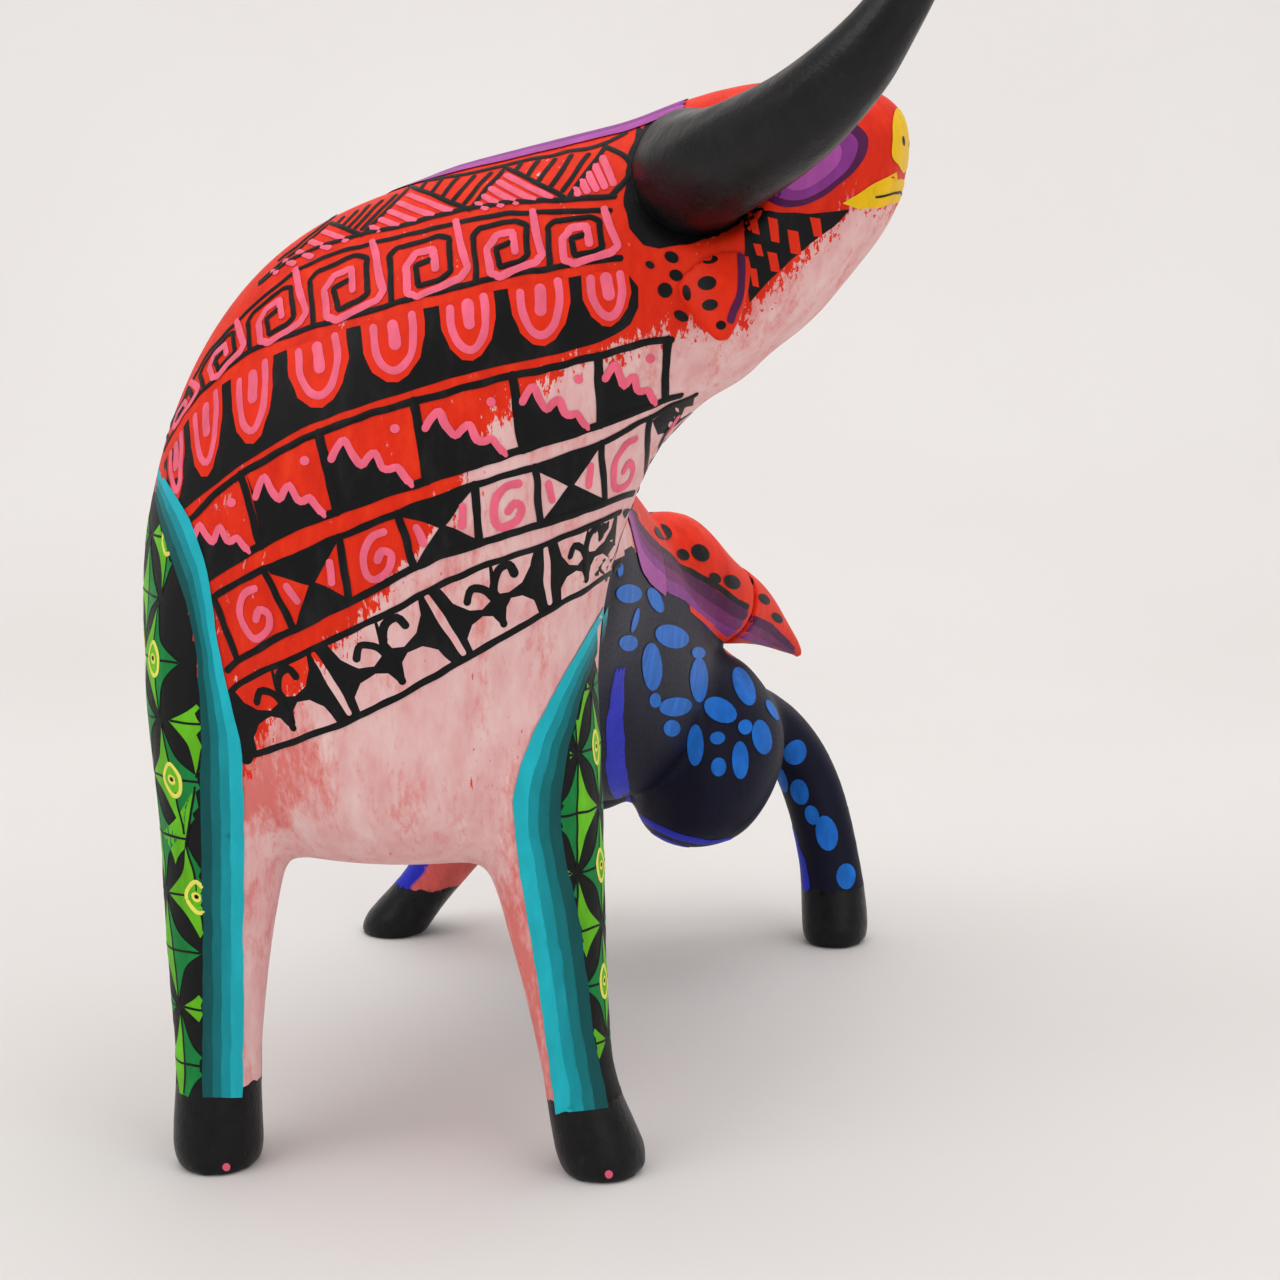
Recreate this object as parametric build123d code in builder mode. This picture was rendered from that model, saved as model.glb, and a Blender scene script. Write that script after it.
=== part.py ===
from build123d import *
import math
import os

os.makedirs("parts", exist_ok=True)

# Carved wooden bull, standing on four hooves. All lengths in millimetres.
# Working frame: Z up, the bull faces -Y, its left side is +X, z = 0 on the hoof soles.
# The neck and the raised head turn to the bull's left.

SEAT_GAP = 0.3          # clearance round and behind a plug-in piece
PEG_SLIP = 0.05         # radial slip of a plug-in peg in its bore
BORE_SPARE = 0.5        # extra depth of a plug-in bore
LEG_SPLIT = 62.0        # height of the joint between a front leg and the shoulder

LEG_DOWEL_R = 3.5
REAR_DOWEL_R = 3.0
NECK_DOWEL_R = 6.0
HORN_PEG_R = 3.5
HORN_PEG_INSET = 12.0     # peg length on each side of the horn seat
EAR_PEG_R = 1.5
TAIL_PEG_R = 2.5
TAIL_PEG_INSET = 13.0     # peg length on each side of the tail seat

# Chest and neck: a fan of stations, each given by its dorsal end and its throat end in the
# XZ plane, the Y of its centre and its half depth.
NECK_FAN = [
    ((-28, 61), (13, 61), -62, 17),
    ((-47, 69), (26, 69), -62, 26),
    ((-57, 83), (31, 83), -61.5, 31),
    ((-61.5, 106), (32, 106), -61, 34),
    ((-59, 131), (36, 124), -61, 35),
    ((-52.5, 152.5), (39.5, 134), -60, 34),
    ((-39.5, 173.5), (42.5, 141), -58.5, 32),
    ((-20, 188), (46.5, 146), -57, 29.5),
    ((2, 196.5), (50, 149.5), -55.5, 27),
    ((22, 201.5), (53, 152), -54, 24.5),
    ((37, 205), (56.5, 154), -53, 23),
]

# Barrel and rump: centre, heading and half width / half height of each station.
BARREL = [
    ((-13, -62, 114), (0, 1, 0), 36, 36),
    ((-11, -30, 114), (0.1, 1, -0.15), 43, 47),
    ((-6, 0, 104), (0.2, 1, -0.35), 37, 40),
    ((2, 28, 91), (0.25, 1, -0.35), 30, 37),
    ((8, 56, 78), (0.25, 1, -0.3), 24, 32),
    ((13, 82, 71), (0.25, 1, -0.3), 17, 24),
    ((17, 98, 67), (0.25, 1, -0.3), 10, 14),
    ((18.5, 104, 65), (0.25, 1, -0.3), 4, 6),
]

# Haunches: level stations, (x, y, z) and half width / half depth.
HAUNCH_LEFT = [
    ((24, 72, 32), 6, 8),
    ((25, 74, 37), 14, 18),
    ((26.5, 77, 49), 18.5, 25),
    ((26, 80, 62), 18.5, 26),
    ((20, 80, 76), 15, 23),
    ((15, 80, 87), 11, 17),
    ((12, 80, 94), 5, 8),
]
HAUNCH_RIGHT = [
    ((-2, 66, 41), 6, 8),
    ((-3, 68, 45.5), 13, 16),
    ((-5, 70, 54), 17, 23),
    ((-5, 72, 64), 18.5, 26),
    ((0, 73, 76), 15, 23),
    ((5, 74, 87), 11, 17),
    ((8, 75, 94), 5, 8),
]

# Limbs: level stations from the sole upwards, centre and half width / half depth.
FRONT_RIGHT = [
    ((-40.5, -84, 0), 8, 9.2),
    ((-41, -83.6, 5), 8.9, 10),
    ((-41, -82.8, 16), 8.6, 9.1),
    ((-41, -81.6, 32), 9.3, 9.6),
    ((-40.6, -80.2, 50), 11, 11.5),
    ((-40, -78.5, LEG_SPLIT), 12.4, 13.5),
    ((-39.5, -75, 82), 15.2, 18),
    ((-39.5, -71, 106), 17, 21),
    ((-38, -67, 128), 13, 18),
    ((-34, -63, 142), 6, 9),
]
FRONT_LEFT = [
    ((35.4, -71, 0), 8, 9.2),
    ((34.4, -70.8, 5), 8.9, 10),
    ((31, -70.5, 16), 7.5, 8.8),
    ((28, -69.5, 32), 8, 9.2),
    ((25, -68.5, 50), 10, 11),
    ((22.8, -67.5, LEG_SPLIT), 11.8, 13),
    ((19, -65, 82), 14.3, 17),
    ((15.5, -62, 106), 14.8, 20),
    ((14, -60, 128), 12, 17),
    ((12, -58, 142), 6, 9),
]
REAR_LEFT = [
    ((56.2, 102, 0), 8, 9.6),
    ((56, 102.4, 5), 8.7, 10.2),
    ((55, 104, 15), 8.5, 8.8),
    ((51.6, 106, 31), 8.3, 7.8),
    ((46, 106.9, 46), 8.6, 8.8),
    ((38.5, 104, 58), 8.6, 11),
    ((30, 97, 67), 8, 11),
]
REAR_RIGHT = [
    ((-60, 85, 0), 8.6, 9.6),
    ((-58, 85.6, 4.5), 9.4, 10.2),
    ((-51, 86.5, 13), 9.2, 9.2),
    ((-41.5, 84, 25), 10.5, 10),
    ((-29, 79, 38), 12.5, 12.5),
    ((-18, 75, 50), 13, 14),
]

# Head: dorsal and throat ends in the XZ plane, centre Y and half depth, nape to nose.
HEAD_FAN = [
    ((37, 205), (56.5, 154), -53, 23),
    ((46, 208.5), (62, 158.5), -52.3, 22.5),
    ((56, 211.5), (68, 163.5), -51, 21.5),
    ((66, 212.6), (74.4, 169.6), -49.2, 19.5),
    ((75.5, 212.4), (79.4, 176), -47.5, 16.8),
    ((83.8, 210.6), (83.2, 181), -46, 14.4),
    ((88.4, 206.8), (86.2, 186), -45, 11.2),
    ((89.6, 202), (88, 191), -44.6, 6.4),
]

# Near horn: path and radius, seat to tip. The other one mirrors in the head's middle plane.
HORN = [
    ((52.5, -68, 194.6), 12.4),
    ((55, -73, 195.2), 11.2),
    ((61, -80, 196.8), 10.2),
    ((69, -86.5, 200), 9.3),
    ((77.5, -92.5, 204.8), 8.3),
    ((86, -96.5, 212), 7),
    ((92.5, -98, 220), 5.5),
    ((98.5, -97, 230), 4.2),
    ((103, -92.5, 242), 2.8),
    ((106, -87, 254), 1),
]
HORN_AXIS = (Vector(*HORN[1][0]) - Vector(*HORN[0][0])).normalized()
HORN_SEAT = Vector(*HORN[0][0])
HEAD_MIDDLE = Plane(origin=(66, -49.5, 190), z_dir=(-0.19, 0.98, 0))

# Near ear: hangs below the horn, root to tip, half width / half thickness.
EAR = [
    ((54.5, -63, 186.5), 6.5, 3.2),
    ((55.5, -68.5, 182), 7.6, 3.4),
    ((57, -73, 176), 7.2, 3.1),
    ((59, -77.5, 169.5), 4.8, 2.5),
    ((60.5, -80.5, 164.5), 1.2, 1),
]
EAR_SIDE = Vector(0.93, 0.22, 0.3)

# Tail: pointed beak that carries on the line of the back, root to tip.
TAIL = [
    ((10, 36, 109), 13, 14),
    ((17, 52, 104.5), 13, 14),
    ((24, 68, 98.4), 12, 12.5),
    ((29.5, 82, 91.6), 10, 10.4),
    ((34, 93, 87.6), 7.6, 8),
    ((38, 102, 82.6), 5, 5),
    ((41.4, 109, 78), 2.8, 2.8),
    ((43.8, 114, 74), 1, 1),
]
TAIL_AXIS = Vector(0.35, 0.88, -0.32).normalized()
TAIL_SEAT = Vector(29.5, 82, 91)


def fan_plane(dorsal, throat, y):
    """Plane of a neck or head station: its x axis runs from the throat end to the dorsal end."""
    dx = dorsal[0] - throat[0]
    dz = dorsal[1] - throat[1]
    centre = ((dorsal[0] + throat[0]) / 2, y, (dorsal[1] + throat[1]) / 2)
    return Plane(origin=centre, x_dir=(dx, 0, dz), z_dir=(dz, 0, -dx))


def fan_loft(stations):
    """Loft through stations given by their two ends."""
    with BuildPart() as body:
        for dorsal, throat, y, half_depth in stations:
            half = math.dist(dorsal, throat) / 2
            with BuildSketch(fan_plane(dorsal, throat, y)):
                Ellipse(half, half_depth)
        loft()
    return body.part


def level_loft(stations):
    """Loft through level elliptical stations."""
    with BuildPart() as body:
        for centre, half_width, half_depth in stations:
            with BuildSketch(Plane(origin=centre)):
                Ellipse(half_width, half_depth)
        loft()
    return body.part


def path_loft(stations, side):
    """Loft through elliptical stations set square to the path through their centres."""
    centres = [Vector(*station[0]) for station in stations]
    with BuildPart() as body:
        for index, (centre, half_side, half_other) in enumerate(stations):
            ahead = centres[min(index + 1, len(centres) - 1)]
            behind = centres[max(index - 1, 0)]
            heading = (ahead - behind).normalized()
            across = side - heading * side.dot(heading)
            with BuildSketch(Plane(origin=centre, x_dir=across, z_dir=heading)):
                Ellipse(half_side, half_other)
        loft()
    return body.part


def pin(start, end, radius):
    """Round pin between two points."""
    axis = Vector(*end) - Vector(*start)
    with BuildPart() as body:
        with BuildSketch(Plane(origin=start, z_dir=axis)):
            Circle(radius)
        extrude(amount=axis.length)
    return body.part


def half_space(origin, axis, size=160):
    """Block that starts at a seat plane and reaches out along the axis."""
    with BuildPart() as body:
        with BuildSketch(Plane(origin=origin, z_dir=axis)):
            Rectangle(size, size)
        extrude(amount=size)
    return body.part


def spine_loft(stations):
    """Loft through upright stations along the barrel, each with its own heading."""
    with BuildPart() as body:
        for centre, heading, half_width, half_height in stations:
            with BuildSketch(Plane(origin=centre, x_dir=(1, -heading[0], 0), z_dir=heading)):
                Ellipse(half_width, half_height)
        loft()
    return body.part


def prism(origin, axis, radius, length):
    """Round clearance that starts at a seat and follows the axis."""
    return pin(origin, Vector(*origin) + Vector(*axis) * length, radius)


def grown_horn(extra):
    """The near horn with every station a little larger."""
    return path_loft([(centre, radius + extra, radius + extra) for centre, radius in HORN], Vector(0, 0, 1))


# Raw carved shapes before they are parted and drilled.
above_split = half_space((0, -75, LEG_SPLIT), (0, 0, 1), 200)
limbs = {
    "front_leg_right": level_loft(FRONT_RIGHT),
    "front_leg_left": level_loft(FRONT_LEFT),
    "rear_leg_right": level_loft(REAR_RIGHT),
    "rear_leg_left": level_loft(REAR_LEFT),
}
tail_shape = path_loft(TAIL, Vector(1, -0.3, 0))
behind_tail_seat = half_space(TAIL_SEAT, TAIL_AXIS)
ear_shape = path_loft(EAR, EAR_SIDE)

# Glued dowels: two ends and a radius.
dowels = {
    "front_dowel_right": ((-40.5, -80, 44), (-39.5, -76, 80), LEG_DOWEL_R),
    "front_dowel_left": ((26, -68.8, 44), (20, -66, 80), LEG_DOWEL_R),
    "rear_dowel_right": ((-38, 83, 28), (-12, 74, 56), REAR_DOWEL_R),
    "rear_dowel_left": ((43.5, 106, 49), (27, 91, 66), REAR_DOWEL_R),
    "neck_dowel": ((32, -55, 173), (60, -52, 182), NECK_DOWEL_R),
}
dowel_shapes = {name: pin(*ends) for name, ends in dowels.items()}

# Plug-in pegs: each sits half in its piece and half in the head or rump.
horn_peg = pin(HORN_SEAT - HORN_AXIS * HORN_PEG_INSET, HORN_SEAT + HORN_AXIS * HORN_PEG_INSET, HORN_PEG_R)
horn_bore = pin(
    HORN_SEAT - HORN_AXIS * (HORN_PEG_INSET + BORE_SPARE), HORN_SEAT + HORN_AXIS, HORN_PEG_R + PEG_SLIP
)
horn_recess = prism(HORN_SEAT - HORN_AXIS * SEAT_GAP, HORN_AXIS, HORN[0][1] + SEAT_GAP, 30)
tail_peg_shape = pin(
    TAIL_SEAT - TAIL_AXIS * TAIL_PEG_INSET, TAIL_SEAT + TAIL_AXIS * TAIL_PEG_INSET, TAIL_PEG_R
)
tail_bore = pin(
    TAIL_SEAT - TAIL_AXIS * (TAIL_PEG_INSET + BORE_SPARE), TAIL_SEAT + TAIL_AXIS, TAIL_PEG_R + PEG_SLIP
)
tail_recess = prism(TAIL_SEAT - TAIL_AXIS * SEAT_GAP, TAIL_AXIS, TAIL[3][1] + 1.2, 45)
ear_peg = pin((56, -64, 179), (57.2, -73.5, 174.6), EAR_PEG_R)

with BuildPart() as torso:
    add(fan_loft(NECK_FAN[:9]))
    add(fan_loft(NECK_FAN[8:]))
    add(spine_loft(BARREL))
    add(level_loft(HAUNCH_LEFT))
    add(level_loft(HAUNCH_RIGHT))
    add(limbs["front_leg_right"] & above_split)
    add(limbs["front_leg_left"] & above_split)
    add(tail_shape - behind_tail_seat)
    for dowel_shape in dowel_shapes.values():
        add(dowel_shape, mode=Mode.SUBTRACT)
    add(tail_recess, mode=Mode.SUBTRACT)
    add(tail_bore, mode=Mode.SUBTRACT)
    for cutter in (horn_recess, horn_bore, ear_peg):
        add(cutter, mode=Mode.SUBTRACT)
        add(mirror(cutter, about=HEAD_MIDDLE), mode=Mode.SUBTRACT)

with BuildPart() as head:
    add(fan_loft(HEAD_FAN))
    add(dowel_shapes["neck_dowel"], mode=Mode.SUBTRACT)
    for cutter in (horn_recess, horn_bore, ear_peg):
        add(cutter, mode=Mode.SUBTRACT)
        add(mirror(cutter, about=HEAD_MIDDLE), mode=Mode.SUBTRACT)

pieces = {"torso": torso.part, "head": head.part, "tail_peg": tail_peg_shape}
pieces.update(dowel_shapes)

# Legs: parted from the shoulder by the split plane, or from the haunch by the haunch itself.
for name, limb in limbs.items():
    with BuildPart() as leg:
        add(limb)
        if name.startswith("front"):
            add(above_split, mode=Mode.SUBTRACT)
        add(torso.part, mode=Mode.SUBTRACT)
        for dowel_shape in dowel_shapes.values():
            add(dowel_shape, mode=Mode.SUBTRACT)
    pieces[name] = leg.part

with BuildPart() as tail:
    add(tail_shape & behind_tail_seat)
    add(tail_peg_shape, mode=Mode.SUBTRACT)
pieces["tail"] = tail.part

with BuildPart() as horn:
    add(grown_horn(0))
    add(horn_peg, mode=Mode.SUBTRACT)

near_shapes = {"horn": horn.part, "horn_peg": horn_peg, "ear_peg": ear_peg}
for name, near in near_shapes.items():
    pieces[name + "_right"] = near
    pieces[name + "_left"] = mirror(near, about=HEAD_MIDDLE)

# Ears: trimmed to the head and neck they lie on, clear of the horn above.
for side in ("right", "left"):
    with BuildPart() as ear:
        add(ear_shape if side == "right" else mirror(ear_shape, about=HEAD_MIDDLE))
        for neighbour in (grown_horn(SEAT_GAP), horn_recess):
            add(neighbour if side == "right" else mirror(neighbour, about=HEAD_MIDDLE), mode=Mode.SUBTRACT)
        for neighbour in (torso.part, head.part, pieces["ear_peg_" + side]):
            add(neighbour, mode=Mode.SUBTRACT)
    pieces["ear_" + side] = ear.part

# The origin is the bottom centre of the whole figure.
boxes = [piece.bounding_box() for piece in pieces.values()]
middle_x = (min(box.min.X for box in boxes) + max(box.max.X for box in boxes)) / 2
middle_y = (min(box.min.Y for box in boxes) + max(box.max.Y for box in boxes)) / 2
print("origin moved to", middle_x, middle_y)

for name, piece in pieces.items():
    with BuildPart() as placed:
        add(Pos(-middle_x, -middle_y, 0) * piece)
    placed.part.label = name
    print(name, round(placed.part.volume), len(placed.part.solids()), placed.part.is_valid)
    export_step(placed.part, f"parts/{name}.step")
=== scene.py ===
import math

import bmesh
import bpy
import numpy as np
from mathutils import Matrix, Vector, noise
from mathutils.bvhtree import BVHTree
from mathutils.geometry import delaunay_2d_cdt


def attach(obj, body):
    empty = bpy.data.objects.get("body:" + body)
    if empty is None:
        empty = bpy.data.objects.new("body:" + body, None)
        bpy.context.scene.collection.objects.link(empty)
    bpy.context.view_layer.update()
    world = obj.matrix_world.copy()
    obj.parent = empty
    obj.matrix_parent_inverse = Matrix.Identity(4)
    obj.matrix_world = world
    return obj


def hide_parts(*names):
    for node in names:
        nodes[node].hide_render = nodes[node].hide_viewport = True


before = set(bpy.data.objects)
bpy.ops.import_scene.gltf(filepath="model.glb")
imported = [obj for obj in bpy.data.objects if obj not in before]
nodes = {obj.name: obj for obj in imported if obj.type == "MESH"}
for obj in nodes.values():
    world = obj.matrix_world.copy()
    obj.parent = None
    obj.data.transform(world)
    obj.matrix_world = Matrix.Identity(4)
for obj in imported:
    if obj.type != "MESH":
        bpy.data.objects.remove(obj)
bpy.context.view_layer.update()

# Working frame of the carving, in millimetres: origin midway between the hooves, bull facing -Y.
ORIGIN = np.array([19.1777, 6.0938, 0.0])
FIGURE = "figure"
BODY_PARTS = ["torso", "head", "front_leg_right", "front_leg_left", "rear_leg_right", "rear_leg_left"]
INNER_PINS = ["neck_dowel", "front_dowel_right", "front_dowel_left", "rear_dowel_right", "rear_dowel_left"]
HOOF_TOP = 16.0


def to_metres(points):
    """Carving millimetres to the row frame."""
    return (np.asarray(points, float) - ORIGIN) * 0.001


def mesh_millimetres(name):
    """Vertices in carving millimetres and triangles of a CAD node."""
    mesh = nodes[name].data
    count = len(mesh.vertices)
    flat = np.empty(count * 3)
    mesh.vertices.foreach_get("co", flat)
    mesh.calc_loop_triangles()
    triangles = np.empty(len(mesh.loop_triangles) * 3, int)
    mesh.loop_triangles.foreach_get("vertices", triangles)
    return flat.reshape(-1, 3) * 1000 + ORIGIN, triangles.reshape(-1, 3)


def new_object(name, points, faces, materials, body, smooth=True):
    """Mesh object from carving millimetres, riding a CAD body."""
    mesh = bpy.data.meshes.new(name)
    mesh.from_pydata(to_metres(points).tolist(), [], faces)
    mesh.update()
    mesh.polygons.foreach_set("use_smooth", [smooth] * len(mesh.polygons))
    for material in materials:
        mesh.materials.append(material)
    obj = bpy.data.objects.new(name, mesh)
    bpy.context.scene.collection.objects.link(obj)
    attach(obj, body)
    return obj


# ---------------------------------------------------------------- materials

def node_set(material):
    """Empty node tree with a Principled shader wired to the output."""
    material.use_nodes = True
    tree = material.node_tree
    tree.nodes.clear()
    output = tree.nodes.new("ShaderNodeOutputMaterial")
    shader = tree.nodes.new("ShaderNodeBsdfPrincipled")
    tree.links.new(shader.outputs["BSDF"], output.inputs["Surface"])
    shader.inputs["Specular IOR Level"].default_value = 0.16
    return tree, shader


def noise_at(tree, scale, detail=4.0, roughness=0.55, stretch=(1, 1, 1), seed=0.0):
    """Noise in object space; scale is features per metre."""
    coordinates = tree.nodes.new("ShaderNodeTexCoord")
    mapping = tree.nodes.new("ShaderNodeMapping")
    mapping.inputs["Scale"].default_value = stretch
    mapping.inputs["Location"].default_value = (seed, seed * 0.7, seed * 1.3)
    texture = tree.nodes.new("ShaderNodeTexNoise")
    texture.inputs["Scale"].default_value = scale
    texture.inputs["Detail"].default_value = detail
    texture.inputs["Roughness"].default_value = roughness
    tree.links.new(coordinates.outputs["Object"], mapping.inputs["Vector"])
    tree.links.new(mapping.outputs["Vector"], texture.inputs["Vector"])
    return texture.outputs["Fac"]


def ramp(tree, factor, stops):
    """Colour ramp through (position, colour) stops."""
    node = tree.nodes.new("ShaderNodeValToRGB")
    while len(node.color_ramp.elements) < len(stops):
        node.color_ramp.elements.new(0.5)
    for element, (position, colour) in zip(node.color_ramp.elements, stops):
        element.position = position
        element.color = (*colour, 1.0)
    tree.links.new(factor, node.inputs["Fac"])
    return node.outputs["Color"]


def spread(tree, factor, low, high):
    """Maps a 0-1 factor to a low-high range."""
    node = tree.nodes.new("ShaderNodeMapRange")
    node.inputs["From Min"].default_value = 0.25
    node.inputs["From Max"].default_value = 0.75
    node.inputs["To Min"].default_value = low
    node.inputs["To Max"].default_value = high
    tree.links.new(factor, node.inputs["Value"])
    return node.outputs["Result"]


def add_bump(tree, shader, heights, distance):
    """Chains bumps: (factor, strength) pairs."""
    normal = None
    for factor, strength in heights:
        bump = tree.nodes.new("ShaderNodeBump")
        bump.inputs["Strength"].default_value = strength
        bump.inputs["Distance"].default_value = distance
        tree.links.new(factor, bump.inputs["Height"])
        if normal is not None:
            tree.links.new(normal, bump.inputs["Normal"])
        normal = bump.outputs["Normal"]
    tree.links.new(normal, shader.inputs["Normal"])


def paint(name, colour, variation=0.14, roughness=(0.42, 0.58), seed=1.0):
    """Matte acrylic paint: slight brush streaks in tone, sheen and relief."""
    material = bpy.data.materials.new(name)
    tree, shader = node_set(material)
    streaks = noise_at(tree, 260, 5, 0.6, (1, 1, 0.35), seed)
    grain = noise_at(tree, 1500, 3, 0.6, (1, 1, 1), seed + 3)
    dark = tuple(channel * (1 - variation) for channel in colour)
    light = tuple(min(1.0, channel * (1 + variation) + variation * 0.02) for channel in colour)
    tree.links.new(
        ramp(tree, streaks, [(0.3, dark), (0.52, colour), (0.72, light)]), shader.inputs["Base Color"]
    )
    tree.links.new(spread(tree, grain, *roughness), shader.inputs["Roughness"])
    add_bump(tree, shader, [(streaks, 0.25), (grain, 0.12)], 0.0002)
    return material


def mix_colour(tree, factor, first, second):
    """Colour mix; each side may be a socket or a colour."""
    node = tree.nodes.new("ShaderNodeMix")
    node.data_type = "RGBA"
    for socket, value in ((node.inputs[6], first), (node.inputs[7], second)):
        if isinstance(value, tuple):
            socket.default_value = (*value, 1.0)
        else:
            tree.links.new(value, socket)
    tree.links.new(factor, node.inputs[0])
    return node.outputs[2]


def attribute(tree, name, output):
    """Reads a vertex attribute."""
    node = tree.nodes.new("ShaderNodeAttribute")
    node.attribute_name = name
    return node.outputs[output]


def arithmetic(tree, operation, first, second):
    """Math node; each input may be a socket or a number."""
    node = tree.nodes.new("ShaderNodeMath")
    node.operation = operation
    for socket, value in zip(node.inputs, (first, second)):
        if isinstance(value, (int, float)):
            socket.default_value = value
        else:
            tree.links.new(value, socket)
    return node.outputs[0]


RED = (0.80, 0.026, 0.004)
PINK = (0.88, 0.14, 0.23)
BLACK = (0.0045, 0.0045, 0.005)


def ground_material():
    """Painted skin: red dry-brushed into pale pink, with darker limb zones."""
    material = bpy.data.materials.new("painted_ground")
    tree, shader = node_set(material)
    streaks = noise_at(tree, 240, 6, 0.62, (1, 1, 0.4), 2.0)
    scratch = noise_at(tree, 900, 4, 0.7, (1, 0.6, 0.35), 5.0)
    grain = noise_at(tree, 1500, 3, 0.6, (1, 1, 1), 8.0)
    cloud = noise_at(tree, 55, 3, 0.5, (1, 1, 1), 4.0)
    red = ramp(tree, streaks, [(0.3, (0.66, 0.016, 0.002)), (0.55, RED), (0.75, (0.86, 0.05, 0.009))])
    pale = ramp(
        tree,
        streaks,
        [(0.28, (0.76, 0.36, 0.36)), (0.5, (0.82, 0.49, 0.48)), (0.72, (0.86, 0.60, 0.58))],
    )
    smear = noise_at(tree, 130, 4, 0.7, (1, 1, 0.3), 9.0)
    blush = arithmetic(
        tree, "ADD", attribute(tree, "blush", "Fac"), arithmetic(tree, "MULTIPLY", smear, 0.9)
    )
    blush = arithmetic(tree, "ADD", blush, arithmetic(tree, "MULTIPLY", scratch, 0.7))
    blush = ramp(
        tree, arithmetic(tree, "MULTIPLY", blush, 0.5), [(0.48, (0, 0, 0)), (0.62, (0.85, 0.85, 0.85))]
    )
    pale = mix_colour(tree, blush, pale, (0.74, 0.14, 0.12))
    worn = arithmetic(tree, "SUBTRACT", scratch, 0.5)
    worn = arithmetic(tree, "MULTIPLY", worn, 2.4)
    drift = arithmetic(tree, "SUBTRACT", cloud, 0.5)
    drift = arithmetic(tree, "MULTIPLY", drift, 0.9)
    edge = arithmetic(tree, "ADD", attribute(tree, "pale", "Fac"), worn)
    edge = arithmetic(tree, "ADD", edge, drift)
    edge = ramp(tree, edge, [(0.44, (0, 0, 0)), (0.56, (1, 1, 1))])
    colour = mix_colour(tree, edge, red, pale)
    zone = attribute(tree, "zone", "Color")
    tint = ramp(tree, streaks, [(0.25, (0.75, 0.75, 0.75)), (0.75, (1.25, 1.25, 1.25))])
    shaded = tree.nodes.new("ShaderNodeMix")
    shaded.data_type = "RGBA"
    shaded.blend_type = "MULTIPLY"
    shaded.inputs[0].default_value = 1.0
    tree.links.new(zone, shaded.inputs[6])
    tree.links.new(tint, shaded.inputs[7])
    cover = ramp(tree, attribute(tree, "cover", "Fac"), [(0.45, (0, 0, 0)), (0.55, (1, 1, 1))])
    colour = mix_colour(tree, cover, colour, shaded.outputs[2])
    tree.links.new(colour, shader.inputs["Base Color"])
    tree.links.new(spread(tree, grain, 0.44, 0.6), shader.inputs["Roughness"])
    add_bump(tree, shader, [(streaks, 0.3), (scratch, 0.16), (grain, 0.12)], 0.0002)
    return material


def gloss_black(name, stretch, strength, gloss):
    """Satin black over carving strokes."""
    material = bpy.data.materials.new(name)
    tree, shader = node_set(material)
    streaks = noise_at(tree, 420, 6, 0.65, stretch, 3.0)
    grain = noise_at(tree, 1800, 3, 0.6, (1, 1, 1), 6.0)
    tone = ramp(
        tree, streaks,
        [(0.3, (0.0025, 0.0025, 0.003)), (0.6, (0.006, 0.006, 0.007)), (0.8, (0.016, 0.016, 0.018))]
    )
    tree.links.new(tone, shader.inputs["Base Color"])
    shader.inputs["Specular IOR Level"].default_value = gloss
    tree.links.new(spread(tree, streaks, 0.24, 0.42), shader.inputs["Roughness"])
    add_bump(tree, shader, [(streaks, strength), (grain, 0.15)], 0.0004)
    return material


GROUND = ground_material()
HOOF = gloss_black("hoof_black", (1, 1, 0.8), 0.6, 0.2)
HORN_BLACK = gloss_black("horn_black", (0.45, 0.45, 0.45), 0.75, 0.28)
PAINTS = {
    "black": paint("paint_black", BLACK, 0.35, (0.38, 0.55), 1.0),
    "red": paint("paint_red", RED, 0.12, seed=2.0),
    "pink": paint("paint_pink", PINK, 0.16, seed=3.0),
    "teal1": paint("paint_turquoise", (0.012, 0.47, 0.56), 0.12, seed=5.0),
    "teal2": paint("paint_teal_light", (0.006, 0.30, 0.36), 0.12, seed=5.5),
    "teal3": paint("paint_teal_mid", (0.004, 0.17, 0.19), 0.12, seed=6.0),
    "teal4": paint("paint_teal_deep", (0.003, 0.085, 0.09), 0.12, seed=6.5),
    "green1": paint("paint_green_bright", (0.13, 0.50, 0.012), 0.22, seed=7.0),
    "green2": paint("paint_green_mid", (0.006, 0.22, 0.045), 0.22, seed=8.0),
    "yellow": paint("paint_yellow", (0.84, 0.80, 0.13), 0.12, seed=9.0),
    "gold": paint("paint_gold", (0.92, 0.55, 0.004), 0.08, seed=9.5),
    "purple1": paint("paint_lilac", (0.40, 0.075, 0.36), 0.14, seed=10.0),
    "purple2": paint("paint_purple", (0.25, 0.035, 0.26), 0.14, seed=11.0),
    "purple4": paint("paint_magenta", (0.18, 0.018, 0.13), 0.14, seed=12.5),
    "purple3": paint("paint_plum", (0.085, 0.008, 0.065), 0.14, seed=12.0),
    "blue1": paint("paint_blue", (0.008, 0.15, 0.60), 0.3, seed=13.0),
    "blue2": paint("paint_ultramarine", (0.02, 0.03, 0.55), 0.2, seed=14.0),
}

# ---------------------------------------------------------------- the carved skin

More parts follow.
